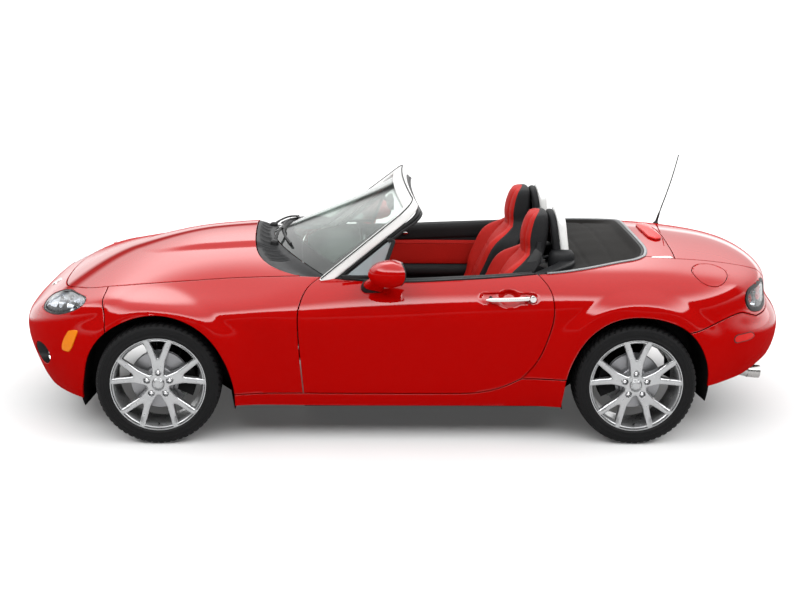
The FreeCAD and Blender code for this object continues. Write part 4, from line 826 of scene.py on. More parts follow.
def plate(edge, inner, outer, face, back, rings=50, turns=480, roll=0.006):
    """A cast plate cut to a flat outline: the polar grid's nodes inside the edge are kept, those near it moved onto it,
    and the front's height falls away over the last few millimetres, as a quarter circle, to a drawn wall and back."""
    r, a = np.meshgrid(np.linspace(inner, outer, rings), np.linspace(0, 2 * math.pi, turns, endpoint=False),
                       indexing="ij")
    x, z = (r * np.cos(a)).ravel(), (r * np.sin(a)).ravel()
    quads = grid_faces(rings, turns, closed=True)
    gap = edge(x, z)
    cell = np.maximum((outer - inner) / rings, r.ravel() * 2 * math.pi / turns)
    move = np.abs(gap) < 0.62 * cell
    for _ in range(3):
        g = edge(x[move], z[move])
        gx = (edge(x[move] + 1e-4, z[move]) - edge(x[move] - 1e-4, z[move])) / 2e-4
        gz = (edge(x[move], z[move] + 1e-4) - edge(x[move], z[move] - 1e-4)) / 2e-4
        size = np.maximum(gx ** 2 + gz ** 2, 0.2)
        x[move], z[move] = x[move] - g * gx / size, z[move] - g * gz / size
    tris = in_two(quads, move)
    tris = tris[~((gap > 0) & ~move)[tris].any(1)]
    mid = edge(x[tris].mean(1), z[tris].mean(1))
    tris = tris[~(move[tris].all(1) & (mid > 0))]
    used, tris = np.unique(tris, return_inverse=True)
    tris = tris.reshape(-1, 3)
    x, z = x[used], z[used]
    deep = np.clip(-edge(x, z) / roll, 0, 1)
    away = np.hypot(x, z)
    height = face(x, z, away) - roll * 0.55 * (1 - np.sqrt(1 - (1 - deep) ** 2))
    front = np.stack([x, height, z], 1)
    rim = free_edges(tris)
    ends = np.unique(rim)
    place = np.full(len(x), -1)
    place[ends] = np.arange(len(ends))
    gx = (edge(x + 1e-4, z) - edge(x - 1e-4, z)) / 2e-4
    gz = (edge(x, z + 1e-4) - edge(x, z - 1e-4)) / 2e-4
    low = np.stack([x + 0.002 * gx, back(away), z + 0.002 * gz], 1)
    step = front[ends] + (low[ends] - front[ends]) * np.array([0.1, 0.06, 0.1])
    n, m = len(x), len(ends)
    a, b = place[rim[:, 0]], place[rim[:, 1]]
    walls = [np.stack([rim[:, 1], rim[:, 0], n + a, n + b], 1),
             np.stack([n + b, n + a, n + m + rim[:, 0], n + m + rim[:, 1]], 1)]
    return facing_out(np.vstack([front, step, low]), [tris, (tris + n + m)[:, ::-1], np.vstack(walls)])


def spoke_face(x, z, r):
    """The spokes' front: level round the bolts, a slight hollow sweep out to the lip, a crease down each spoke's
    middle, and a deep seat for each nut."""
    along = np.clip((r - 0.05) / 0.17, 0, 1)
    height = 0.0905 - 0.004 * np.sin(math.pi * along) + 0.005 * smooth_step((r - 0.17) / 0.05)
    height = height + 0.0022 * np.clip(-spoke_edge(x, z) / 0.015, 0, 1) * smooth_step((r - .10) / .04)
    for a in SPOKE_TURNS:
        nut = np.hypot(x - BOLT_CIRCLE * math.cos(a), z - BOLT_CIRCLE * math.sin(a))
        height = height - 0.0210 * (1 - smooth_step((nut - 0.0138) / 0.0022))
    return height - 0.003 * (1 - smooth_step((r - 0.0300) / 0.003))


spokes = plate(spoke_edge, 0.010, 0.2275, spoke_face, lambda r: 0.028 + 0.046 * smooth_step((r - 0.06) / 0.16))
lip = spun([(.2330, .0965), (.2326, .0990), (.2310, .1005), (.2290, .1010), (.2268, .1002), (.2256, .0980),
            (.2252, .0950), (.2240, .0930), (.2222, .0925), (.2200, .0945), (.2180, .0950), (.2160, .0935),
            (.2140, .0890), (.2110, .0840), (.2080, .0740), (.2062, .0560), (.2050, .0300), (.2035, .0),
            (.2030, -.05), (.2060, -.080), (.2200, -.092), (.2330, -.096), (.2335, -.099), (.2290, -.101),
            (.2200, -.097), (.2120, -.085), (.2110, -.05), (.2110, .02), (.2130, .06), (.2160, .078), (.2240, .088)])
cap = spun([(.0004, .0985), (.012, .0983), (.018, .0975), (.0205, .0962), (.0215, .0940), (.0225, .0945),
            (.0250, .0950), (.0272, .0930), (.0276, .0900), (.0276, .080), (.0004, .080)], 72)
hub_ring = spun([(.0325, .0870), (.0315, .0905), (.0300, .0915), (.0284, .0900), (.0279, .0870), (.0279, .080),
                 (.0325, .080)], 72)


def wheel_nut(x, z):
    """A domed hexagonal nut: six-sided rings below, drawn in to a round dome above."""
    a = np.linspace(0, 2 * math.pi, 36, endpoint=False)
    six = np.cos(math.pi / 6) / np.cos(np.mod(a, math.pi / 3) - math.pi / 6)
    rows = [(0.0120, .060, 0), (0.0120, .071, 0), (.0104, .0715, 1), (.0104, .0800, 1), (.0096, .0820, .6),
            (.0084, .0840, 0), (.0062, .0856, 0), (.003, .0866, 0), (.0002, .0868, 0), (.0002, .060, 0)]
    ring = [np.stack([x + size * (1 + (six - 1) * flat) * np.cos(a), out + 0 * a,
                      z + size * (1 + (six - 1) * flat) * np.sin(a)], 1) for size, out, flat in rows]
    return facing_out(np.vstack(ring), grid_faces(len(rows), 36, closed=True, ring=True))


nuts = together(*[wheel_nut(BOLT_CIRCLE * math.cos(a), BOLT_CIRCLE * math.sin(a)) for a in SPOKE_TURNS])
valve_rows = [(.0001, .0), (.0042, .0), (.0048, .006), (.0040, .016), (.0040, .026), (.0034, .0275), (.0001, .0275)]
valve = spun(valve_rows, 20)
lean = math.radians(28)
vx, vz, vy = valve[0].T
leaning = [vx, 0.074 + vz * math.cos(lean) - vy * math.sin(lean), -0.2065 + vz * math.sin(lean) + vy * math.cos(lean)]
valve = facing_out(np.stack(leaning, 1), valve[1])


def disc_shape(radius):
    """Brake disc: two rubbing faces with an air gap between, a chamfered edge, and a raised bell with a stepped rim."""
    return spun([(radius - .052, .0055), (radius - .003, .0055), (radius - .001, .0035), (radius, .0015),
                 (radius - .004, -.001), (radius - .004, -.0105), (radius, -.013), (radius - .002, -.017),
                 (radius - .052, -.017), (.060, -.015), (.030, -.015), (.030, .040), (.060, .046), (.0715, .046),
                 (.0740, .0435), (.0745, .012), (.0790, .0065)], 160)


tyre_rubber = mottled("tyre_rubber", {"Specular IOR Level": 0.12}, (0.0035, 0.0035, 0.0038),
                      (0.0065, 0.0065, 0.0068), (14.0, 3.0), (40.0, 2.0, 0.15, 0.52), (800.0, 2.0, 0.15, 0.0004))


def tyre_shape(turns=360):
    """Tyre: a closed section carried round the axle, its tread pressed in by four round grooves, and by slanted cuts
    across the shoulder blocks that repeat 60 times; raised rings and a rim guard stand on the walls."""
    side = np.array([(.2240, .094), (.2300, .1000), (.2365, .1048), (.2400, .1075), (.2440, .1080), (.2462, .1062),
                     (.2490, .1058), (.2540, .1066), (.2600, .1070), (.2606, .1078), (.2622, .1079), (.2630, .1069),
                     (.2700, .1060), (.2762, .1046), (.2768, .1054), (.2780, .1051), (.2786, .1038), (.2850, .1012),
                     (.2892, .0985), (.2925, .0955), (.2952, .0925), (.2972, .0900)])
    across_tread = np.linspace(.0885, -.0885, 60)
    crown_r = .3040 - .0052 * np.abs(across_tread / .0885) ** 2.6
    r = np.concatenate([side[:, 0], crown_r, side[::-1, 0], [.2150, .2130, .2150]])
    out = np.concatenate([side[:, 1], across_tread, -side[::-1, 1], [-.080, 0, .080]])
    a = np.linspace(0, 2 * math.pi, turns, endpoint=False)[:, None]
    groove = sum(np.clip(1.35 - np.abs(out - g) / .0042, 0, 1) for g in (-.052, -.018, .018, .052))
    cut = np.mod(a * 60 / (2 * math.pi) + np.abs(out) * 16, 1)
    block = np.clip((0.16 - np.abs(cut - 0.5)) / 0.07, 0, 1) * (np.abs(out) > .024)
    depth = (.0068 * np.maximum(groove, .75 * block) * (r > .2915)) * np.ones_like(a)
    ribs = .0005 * np.sin(a * 360) * ((r > .2636) & (r < .2700) & (np.abs(out) > .1))
    away = r - depth
    points = np.stack([away * np.cos(a), (out + np.sign(out) * ribs) + 0 * a, away * np.sin(a)], -1)
    return facing_out(points.reshape(-1, 3), grid_faces(turns, len(r), closed=True, ring=True))


tyre = tyre_shape()


def at_wheel(shape, axle, hand):
    """A wheel part moved to its place; hand -1 turns it to the right side."""
    points, faces = shape
    faces = faces if isinstance(faces, list) else [faces]
    points = points * (1, hand, 1) + (axle, TRACK_HALF * hand, HUB_HEIGHT)
    return points, (faces if hand > 0 else [f[:, ::-1] for f in faces])


# Columns: corner, axle, hand, brake disc's radius.
CORNERS = (("front_left", FRONT_AXLE, 1, .145), ("front_right", FRONT_AXLE, -1, .145),
           ("rear_left", REAR_AXLE, 1, .140), ("rear_right", REAR_AXLE, -1, .140))
for corner, axle, hand, disc_radius in CORNERS:
    wheel_body = corner + "_wheel"
    rim_piece = piece(corner + "_alloy", *at_wheel(together(spokes, lip), axle, hand), wheel_alloy, wheel_body,
                      "wheel_alloy", smooth=35)
    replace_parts(rim_piece, corner + "_wheel")
    piece(corner + "_cap", *at_wheel(together(cap, hub_ring), axle, hand), wheel_alloy, wheel_body, "wheel_alloy")
    piece(corner + "_nuts", *at_wheel(nuts, axle, hand), bright_steel, wheel_body, smooth=30)
    piece(corner + "_disc", *at_wheel(disc_shape(disc_radius), axle, hand), disc_steel, wheel_body, "dark_steel",
          smooth=30)
    piece(corner + "_valve", *at_wheel(valve, axle, hand), tyre_rubber, wheel_body, "tyre_rubber")
    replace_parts(piece(corner + "_tread", *at_wheel(tyre, axle, hand), tyre_rubber, wheel_body, "tyre_rubber",
                      smooth=30), corner + "_tyre")

# ---------------------------------------------------------------------------
# Windscreen. Bowed laminated glass with a dark printed border, widened along its foot by a painted reflection of the
# scuttle, in a painted surround whose pillars stand on the scuttle; two soft seals run up its back edge, where the
# folding roof and the door glass meet it.
# ---------------------------------------------------------------------------
silver_paint = mottled("silver_paint", {"Metallic": 0.2, "Coat Weight": 0.3, "Coat Roughness": 0.05},
                       (0.62, 0.62, 0.61), (0.67, 0.67, 0.66), (25.0, 2.0), (70.0, 2.0, 0.1, 0.28),
                       (700.0, 1.0, 0.04, 0.0004))
black_seal = mottled("black_seal", {"Specular IOR Level": 0.25}, (0.004, 0.004, 0.0045), (0.008, 0.008, 0.0085),
                     (50.0, 2.0), (60.0, 2.0, 0.15, 0.38), (900.0, 2.0, 0.08, 0.0003))
black_plastic, shade, shader = finish("black_plastic", {"Specular IOR Level": 0.22})
moulded = shade.node("ShaderNodeTexVoronoi", {"feature": "SMOOTH_F1"},
                     {"Vector": shade.node("ShaderNodeTexCoord", outlet=3), "Scale": 900.0})
feed(shader, "Base Color", shade.noise(18.0, 3.0).mix((0.0055, 0.0058, 0.0064), (0.0095, 0.0100, 0.0110)))
feed(shader, "Roughness", shade.noise(45.0, 2.0) * 0.15 + 0.45)
feed(shader, "Normal", moulded.bump(0.18, 0.0004))


def glazing(name, tint, dark, gloss_share=0.04):
    """Glass that shows what is behind it through a tint, and mirrors more towards its edge-on sides; where the piece's
    border attribute is 1 a dark layer hides what is behind: print round the windscreen's edges, with a painted
    reflection of the scuttle along its foot, and an even grey over the quarter panes."""
    made = bpy.data.materials.new(name)
    made.use_nodes = True
    tree = made.node_tree
    shade = Shade(tree)
    clear = shade.node("ShaderNodeBsdfTransparent", None, {"Color": (*tint, 1)})
    gloss = shade.node("ShaderNodeBsdfGlossy", None, {"Color": (1, 1, 1, 1), "Roughness": 0.0})
    rim = shade.node("ShaderNodeLayerWeight", None, {"Blend": 0.5}, 1) ** 5.0 * 0.9 + gloss_share
    sheet_of_glass = shade.node("ShaderNodeMixShader", None, {0: rim, 1: clear, 2: gloss})
    print_and_painted_reflection = tree.nodes["Principled BSDF"]
    print_and_painted_reflection.inputs["Base Color"].default_value = (*dark, 1)
    print_and_painted_reflection.inputs["Roughness"].default_value = 0.05
    border = shade.node("ShaderNodeAttribute", {"attribute_name": "border"}, None, 2)
    both = shade.node("ShaderNodeMixShader", None,
                      {0: border, 1: sheet_of_glass, 2: Shade(tree, print_and_painted_reflection.outputs[0])})
    tree.links.new(both.socket, tree.nodes["Material Output"].inputs["Surface"])
    return made


def bordered(made, value):
    """Gives a piece its border attribute, one value for each point."""
    kept = made.data.attributes.new("border", "FLOAT", "POINT")
    kept.data.foreach_set("value", np.asarray(value, np.float32))
    return made


screen_glass = glazing("screen_glass", (0.79, 0.85, 0.82), (0.030, 0.033, 0.032))
side_glass = glazing("side_glass", (0.80, 0.86, 0.84), (0.36, 0.40, 0.42))
clear_lens = glazing("clear_lens", (0.86, 0.87, 0.88), (0.01, 0.01, 0.01), 0.02)
PILLAR_FOOT, PILLAR_TOP = np.array((.402, .668, .796)), np.array((-.018, .598, 1.133))
pillar_run = (PILLAR_TOP - PILLAR_FOOT) * (1, 0, 1)
pillar_run /= np.linalg.norm(pillar_run)
screen_out = np.array((pillar_run[2], 0, -pillar_run[0]))


def on_screen(up, across_it, lift=0.0):
    """A place on the windscreen: up from its lower edge, across from -1 to 1, bowed as a parabola, lifted squarely."""
    up, across_it, lift = (np.asarray(v, float)[..., None] for v in (up, across_it, lift))
    edge = PILLAR_FOOT * (1 - up) + PILLAR_TOP * up + screen_out * (.010 + lift) - pillar_run * .026 * up
    bow = np.array((.268, 0, .092)) * (1 - up) + np.array((.030, 0, .022)) * up
    p = edge * (1, 0, 1) + bow * (1 - across_it ** 2)
    return p + (edge - (0, .024, 0)) * (0, 1, 0) * across_it


def closed_run(rings):
    """Rings of places joined along, the first and last closed by a fan from their middle."""
    n, m = rings.shape[:2]
    k, count = np.arange(m), n * m
    fans = [np.stack([np.full(m, count), (k + 1) % m, k], 1),
            np.stack([np.full(m, count + 1), count - m + k, count - m + (k + 1) % m], 1)]
    middle = np.stack([rings[0].mean(0), rings[-1].mean(0)])
    points = np.vstack([rings.reshape(-1, 3), middle])
    return facing_out(points, [grid_faces(n, m, closed=True), np.vstack(fans)])


def swept(path, sideways, section):
    """A closed section carried along a path. Its first measure lies along sideways, made square to the path, and its
    second along the path's direction crossed with that. The section may differ at each place."""
    path = np.asarray(path, float)
    ahead = np.gradient(path, axis=0)
    ahead /= np.linalg.norm(ahead, axis=1, keepdims=True)
    u = np.broadcast_to(np.asarray(sideways, float), path.shape)
    u = u - (u * ahead).sum(1, keepdims=True) * ahead
    u = u / np.linalg.norm(u, axis=1, keepdims=True)
    v = np.cross(ahead, u)
    section = np.asarray(section, float)
    section = np.broadcast_to(section, (len(path),) + section.shape[-2:])
    return closed_run(path[:, None] + section[..., :1] * u[:, None] + section[..., 1:] * v[:, None])


def tube(path, radius, sides=16, flat=1.0):
    """A round bar along a path: radius may differ at each place, and flat squeezes its second measure."""
    a = np.linspace(0, 2 * math.pi, sides, endpoint=False)
    ring = np.stack([np.cos(a), np.sin(a) * flat], 1)
    path = np.asarray(path, float)
    main = np.abs(path[-1] - path[0])
    return swept(path, np.eye(3)[np.argmin(main)],
                 np.broadcast_to(np.asarray(radius, float), len(path))[:, None, None] * ring)


def corner_round(width, height, radius, steps=5):
    """A rectangle's outline about its middle, its corners rounded as quarter circles."""
    turn = np.radians(np.concatenate([np.linspace(q, q + 90, steps) for q in (0, 90, 180, 270)]))
    side = np.repeat([(1, 1), (-1, 1), (-1, -1), (1, -1)], steps, axis=0) * (width / 2 - radius, height / 2 - radius)
    return side + radius * np.stack([np.cos(turn), np.sin(turn)], 1)


def surround_line(low, out, inward=0.0, behind=0.0):
    """The surround's middle line: up the left pillar, round a bent corner, along the bowed header, and the same down
    the right; out moves it squarely to the glass, behind moves only its header back, and inward goes to the middle."""
    rise = np.linspace(0, 1, 30)[:, None]
    foot, top = PILLAR_FOOT + pillar_run * (-low), PILLAR_TOP
    pillar = foot + (top - foot) * rise * 0.86
    across_it = np.linspace(0.86, 0, 30)
    header = np.stack([top[0] + .030 * (1 - across_it ** 2), top[1] * across_it,
                       top[2] + .022 * (1 - across_it ** 2)], 1)
    t = np.linspace(0, 1, 14)[1:-1, None]
    knee = top + (.004, -.004, .002)
    bend = (1 - t) ** 2 * pillar[-1] + 2 * t * (1 - t) * knee + t ** 2 * header[0]
    left = np.vstack([pillar, bend, header])
    ahead = np.gradient(left, axis=0)
    ahead /= np.linalg.norm(ahead, axis=1, keepdims=True)
    left = left + screen_out * (out
                                - behind * smooth_step((left[:, 2:] - 1.05) / .08)) + np.cross(ahead,
            screen_out) * inward
    return two_sided(left)


def slab(front, back, rows, columns):
    """A thin sheet from the two grids of its sides, closed round its edge."""
    faces, count = grid_faces(rows, columns), rows * columns
    edge = np.concatenate([np.arange(columns), np.arange(2 * columns - 1, count, columns),
                           np.arange(count - 2, count - columns - 1, -1), np.arange(count - 2 * columns, 0, -columns)])
    after = np.roll(edge, -1)
    walls = np.stack([after, edge, edge + count, after + count], 1)
    return facing_out(np.vstack([front, back]), [faces, (faces + count)[:, ::-1], walls])


surround_path = surround_line(.035, 0)
on_header = smooth_step((surround_path[:, 2] - 1.05) / .08)[:, None]
surround_section = np.repeat(corner_round(.048, .044, .010)[None], len(surround_path), 0)
surround_section[..., 1] -= on_header * np.where(surround_section[..., 1] < 0, .022, 0)
surround = swept(surround_path, screen_out, surround_section)
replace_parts(piece("screen_surround", *surround, silver_paint, slot="silver_paint"), "windscreen_frame")
lip_a = swept(surround_line(.02, -.033, .004, .010), screen_out, corner_round(.020, .020, .008))
lip_b = swept(surround_line(.0, -.048, .009, .011), screen_out, corner_round(.015, .018, .006))
lip_c = swept(surround_line(.03, .024, .0215), screen_out, corner_round(.005, .007, .002))
piece("screen_seals", *together(lip_a, lip_b, lip_c), black_seal)
up, over = (g.ravel() for g in np.meshgrid(np.linspace(-.01, 1.0, 60), np.linspace(-1, 1, 90), indexing="ij"))
glass = slab(on_screen(up, over), on_screen(up, over, -.005), 60, 90)
# Painted reflection: the wide dark band along the glass's foot stands for the scuttle's reflection; the narrow bands
# along the top and sides are print.
painted_reflection_foot_print_top = np.maximum(smooth_step((.15 - up) / .03), smooth_step((up - .955) / .02))
side_border = smooth_step((np.abs(over) - .935) / .02)
printed = bordered(piece("screen_pane", *glass, screen_glass, slot="screen_glass"),
                   np.tile(np.maximum(painted_reflection_foot_print_top, side_border) * .82, 2))
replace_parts(printed, "windscreen_glass")

# ---------------------------------------------------------------------------
# Scuttle, wipers and inner mirror. A moulded black cover fills the space from
# the bonnet's back edge to the glass; two arms on its spindles hold the blades.
# ---------------------------------------------------------------------------
SCREEN_HALF = .644
half = np.linspace(.640, 0, 40)
scuttle_front = two_sided(on_top(*np.stack([.772 - .290 * (half / .66) ** 5, half], 1), steps=160) - (.003, 0, .004))
scuttle_front = bonnet_bulge(scuttle_front)
scuttle_back = two_sided(on_screen(-.015 + np.zeros(160), scuttle_front[:160, 1] / SCREEN_HALF, -.002))
share = np.linspace(0, 1, 16)[:, None, None]
scuttle = scuttle_front * (1 - share) + scuttle_back * share - np.array([0, 0, .010]) * np.sin(math.pi * share) ** 2
slats = .0022 * np.cos(scuttle[..., 1] * 420) * (np.abs(share[..., 0] - .45) < .3) * (np.abs(scuttle[..., 1]) < .46)
scuttle = scuttle.reshape(-1, 3) + slats.reshape(-1, 1) * (0, 0, 1)
scuttle = slab(scuttle, scuttle - (0, 0, .006), 16, len(scuttle_front))
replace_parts(piece("scuttle_cover", *scuttle, black_plastic, slot="black_plastic"), "cowl_panel")


def tapered(section, steps, at, size):
    """The section at each of so many places along a run, its size brought through the given values."""
    return np.interp(np.linspace(0, 1, steps), at, size)[:, None, None] * section


def turned(place, across_it, upward, along, rows, steps=48):
    """A round part: each row is a ring's radius, in the plane of across_it and upward, and its distance along."""
    a = np.linspace(0, 2 * math.pi, steps, endpoint=False)[:, None]
    circle = np.cos(a) * np.array(across_it, float) + np.sin(a) * np.array(upward, float)
    rings = [np.asarray(place, float) + r * circle + h * np.array(along, float) for r, h in rows]
    return facing_out(np.vstack(rings), grid_faces(len(rings), steps, closed=True))


def wiper(from_y, to_y, arm_y, name):
    """One wiper: a blade of rubber under a bowed spring strip along the foot of the glass, held by a cranked arm that
    runs back down to a capped spindle."""
    y = np.linspace(from_y, to_y, 40)
    rise = np.interp(y, sorted((from_y, to_y)), (.095, .045) if from_y > to_y else (.045, .095))
    foot = on_screen(rise, y / SCREEN_HALF, .006)
    top = on_screen(rise, y / SCREEN_HALF, .017)
    rubber = swept(foot, screen_out, corner_round(.012, .004, .0015))
    spring = swept(top, screen_out, corner_round(.008, .013, .003))
    hold = on_screen(.075, (from_y + to_y) / 2 / SCREEN_HALF, .026)
    spindle = on_screen(-.03, arm_y / SCREEN_HALF, .0) + np.array((.022, 0, .012))
    along = np.linspace(0, 1, 24)[:, None]
    arm_path = spindle + (hold - spindle) * along + np.array((0, 0, .016)) * np.sin(math.pi * along) ** .8
    arm = swept(arm_path, screen_out, tapered(corner_round(.009, .016, .003), 24, (0, .25, 1), (1.7, 1.1, .7)))
    clip = tube(np.linspace(hold - (0, .035, 0), hold + (0, .035, 0), 12) - screen_out * .004,
                .0085 * np.sin(np.linspace(.4, math.pi - .4, 12)) ** .5, 12)
    rows = [(.021, -.02), (.021, .004), (.018, .010), (.010, .014), (.001, .015)]
    boss = turned(spindle, (1, 0, 0), (0, 1, 0), (0, 0, 1), rows, 28)
    return piece(name, *together(rubber, spring, arm, clip, boss), black_seal)


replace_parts(wiper(.330, -.180, .25, "left_wiper"), "wipers")
wiper(-.110, -.600, -.19, "right_wiper")
shell_rows = []
for reach, size in ((0, .96), (.003, 1), (.010, 1), (.020, .93), (.028, .78), (.034, .5), (.036, .02)):
    outline = corner_round(.215, .058, .026, 12) * size
    shell_rows.append(np.stack([.060 + reach + 0 * outline[:, 0], outline[:, 0], 1.058 + outline[:, 1]], 1))
shell = facing_out(np.vstack(shell_rows), grid_faces(7, 48, closed=True))
stalk = tube(line((.092, 0, 1.066), (.110, 0, 1.085), (.108, 0, 1.112), steps=12), .009)
piece("inner_mirror", *together(shell, stalk), black_plastic, slot="black_plastic")
outline = corner_round(.205, .050, .022, 12)
mirror_face = np.vstack([np.insert(s * outline, 0, 0, axis=1) + (.0605, 0, 1.058) for s in (1, .6, .02)])
piece("inner_mirror_glass", mirror_face, grid_faces(3, 48, closed=True), bright_steel)

# ---------------------------------------------------------------------------
# Door mirrors, quarter windows and belt strips. Painted mirror shells on a
# short neck, a fixed three-sided pane in a black channel, and a rubber strip
# that wipes along the top of each door.
# ---------------------------------------------------------------------------


def both_hands(name, shape, look, slot=None, smooth=40, rides="{}_door", hides=None):
    """The same piece on the left and, mirrored, on the right. It rides on the doors unless another body is named, and
    hides names the CAD pieces that it stands for."""
    points, faces = shape
    faces = faces if isinstance(faces, list) else [faces]
    made = []
    for side, shaped in (("left", (points, faces)), ("right", mirrored(points, faces))):
        made.append(piece(side + "_" + name, *shaped, look, rides.format(side), slot, smooth))
        if hides:
            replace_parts(made[-1], side + "_" + hides)
    return made


turn = np.linspace(0, 2 * math.pi, 64, endpoint=False)
mirror_middle = np.array((.040, .866, .866))


def mirror_ring(ahead_by, size, sink=0.0):
    """One ring of the mirror shell: an oval, fuller below its outer end, drawn to the front and a little down."""
    wide, high = .094 * size, .064 * size
    y = wide * np.sign(np.cos(turn)) * np.abs(np.cos(turn)) ** .85
    z = high * np.sign(np.sin(turn)) * np.abs(np.sin(turn)) ** .9 * (1 + .08 * np.cos(turn))
    drop = ahead_by / .172
    curl = .030 * np.abs(z / .064) ** 2.4 * np.clip(1 - drop * 2.2, 0, 1)
    return mirror_middle + np.stack([ahead_by + curl - .08 * z * (1 - drop) + 0 * y, y - .016 * drop,
                                     z - .006 * drop ** 2 + sink], 1)


along = np.concatenate([np.linspace(0, .30, 9)[:-1], .30 + .70 * np.sin(np.linspace(0, math.pi / 2, 20))])
full = np.where(along < .30, 1 - .16 * ((.30 - along) / .30) ** 2,
                np.sqrt(np.clip(1 - (np.clip(along - .30, 0, 1) / .70) ** 2.2, 0, 1)) + .004)
rings = [mirror_ring(.172 * t, s) for t, s in zip(along, full)]
rings = [mirror_ring(.010, .76), mirror_ring(.002, .79), mirror_ring(.0, .825)] + rings
shell = facing_out(np.vstack(rings), grid_faces(len(rings), 64, closed=True))
both_hands("mirror_shell", shell, red_paint, "red_paint", hides="mirror")
bezel = [mirror_ring(-.001, .84), mirror_ring(-.004, .84), mirror_ring(-.0055, .81), mirror_ring(-.003, .78),
         mirror_ring(.006, .76), mirror_ring(.012, .76), mirror_ring(.003, .84)]
bezel = facing_out(np.vstack(bezel),
                   np.vstack([grid_faces(7, 64, closed=True),
                              np.stack([6 * 64 + np.arange(64), 6 * 64 + (np.arange(64) + 1) % 64,
                                        (np.arange(64) + 1) % 64, np.arange(64)], 1)]))
both_hands("mirror_edge", bezel, black_seal)
face = [mirror_ring(.0035, s) for s in (.765, .74, .5, .25, .01)]
face = (np.vstack(face), grid_faces(5, 64, closed=True)[:, ::-1])
both_hands("mirror_glass", face, bright_steel)
neck_line = line((.186, .752, .762), (.180, .765, .780), (.166, .785, .802), (.150, .812, .826), (.136, .836, .850),
                 steps=24)
neck_size = tapered(corner_round(.084, .040, .0198, 8), 24, (0, .18, .45, .8, 1), (1.36, 1.24, .95, .85, .85))
neck = swept(neck_line, (1, 0, 0), neck_size)
both_hands("mirror_neck", neck, red_paint, "red_paint")
gasket = swept(neck_line[:5] - (0, .003, .002), (1, 0, 0), 1.43 * corner_round(.084, .042, .0205, 8))
both_hands("mirror_gasket", gasket, black_seal)


def pane_place(x, z, out=0.0):
    """A place on the quarter window: its plane leans in by 17 degrees from its foot."""
    x, z = np.asarray(x, float), np.asarray(z, float)
    lean = math.radians(17)
    rise = (z - .838)
    return np.stack([x, .702 + 0 * x - rise * math.sin(lean) + out * math.cos(lean), .838 + rise * math.cos(lean)
                     + out * math.sin(lean)], -1)


corners = [(.318, .812), (.160, .812), (.084, .985), (.104, .990)]
pane_rows = []
for s in np.linspace(0, 1, 14):
    front = np.array(corners[0]) * (1 - s) + np.array(corners[3]) * s
    rear = np.array(corners[1]) * (1 - s) + np.array(corners[2]) * s
    pane_rows.append(np.linspace(front, rear, 10))
flat = np.array(pane_rows).reshape(-1, 2)
pane_sides = [pane_place(flat[:, 0], flat[:, 1], out) for out in (.008, .004)]
pane = slab(*pane_sides, 14, 10)
for made in both_hands("quarter_pane", pane, side_glass, "screen_glass", hides="quarter_glass"):
    bordered(made, np.full(280, .45))
channel_line = line((.150, .800), (.084, .986), (.100, .994), (.112, .986), bow=False, steps=60)
channel = swept(pane_place(channel_line[:, 0], channel_line[:, 1], .006), (0, 1, 0), corner_round(.016, .020, .004))
sill_line = line((.335, .812), (.14, .812), bow=False, steps=20)
sill_strip = swept(pane_place(sill_line[:, 0], sill_line[:, 1], .006), (0, 0, 1), corner_round(.016, .014, .004))
both_hands("quarter_channel", together(channel, sill_strip), black_seal)
strip_line = belt[12:-4] - (0, .0065, -.001)
strip = swept(strip_line, (0, 1, 0), corner_round(.013, .010, .0042))
both_hands("belt_strip", strip, black_seal)

# ---------------------------------------------------------------------------
# Door handles. A plated bar that stands in a shallow oval hollow, with the
# lock's round end behind it.
# ---------------------------------------------------------------------------
chrome = mottled("chrome", {"Metallic": 1.0}, (0.58, 0.57, 0.56), (0.66, 0.65, 0.64), (12.0, 2.0),
                 (50.0, 2.0, 0.04, 0.05))
hx = np.linspace(-.360, -.572, 40)
handle_line = np.stack([hx, .846 - .010 * ((hx + .466) / .106) ** 2, .7355 - .010 * (hx + .466) / .106 * .35], 1)
thin = tapered(corner_round(.021, .014, .0065, 8), 40, (0, .04, .12, .9, .97, 1), (.25, .62, .92, 1, .92, .5))
bar_shape = swept(handle_line, (0, 0, 1), thin)
lock_rows = [(.0165, .812), (.0165, .834), (.0150, .838), (.008, .8395), (.0003, .840)]
lock = turned((-.588, 0, .7355), (1, 0, 0), (0, 0, 1), (0, 1, 0), lock_rows, 40)
posts = together(tube([(-.385, .800, .7355), (-.385, .840, .7355)], .008),
                 tube([(-.560, .800, .7355), (-.560, .840, .7355)], .008))
both_hands("handle_bar", together(bar_shape, lock), chrome)
both_hands("handle_posts", posts, black_plastic, "black_plastic")

# ---------------------------------------------------------------------------
# Lamps. Each has a black housing let into its opening, bright plated bowls
# within, and a clear or coloured outer lens flush with the paint. The round fog
# lamps stand back in moulded pockets.
# ---------------------------------------------------------------------------


def plastic(name, dark, light, rough=0.12):
    """Moulded lens plastic in one colour, smooth outside, its ribs showing as a fine even ripple."""
    made, shade, shader = finish(name, {"Specular IOR Level": 0.1})
    ripple = shade.wave(0, 700.0) * shade.wave(2, 700.0) * 0.5 + 0.5
    feed(shader, "Base Color", (ripple * 0.6 + shade.noise(40.0, 2.0) * 0.4).mix(dark, light))
    feed(shader, "Roughness", ripple * 0.10 + rough)
    feed(shader, "Normal", ripple.bump(0.2, 0.0006))
    return made


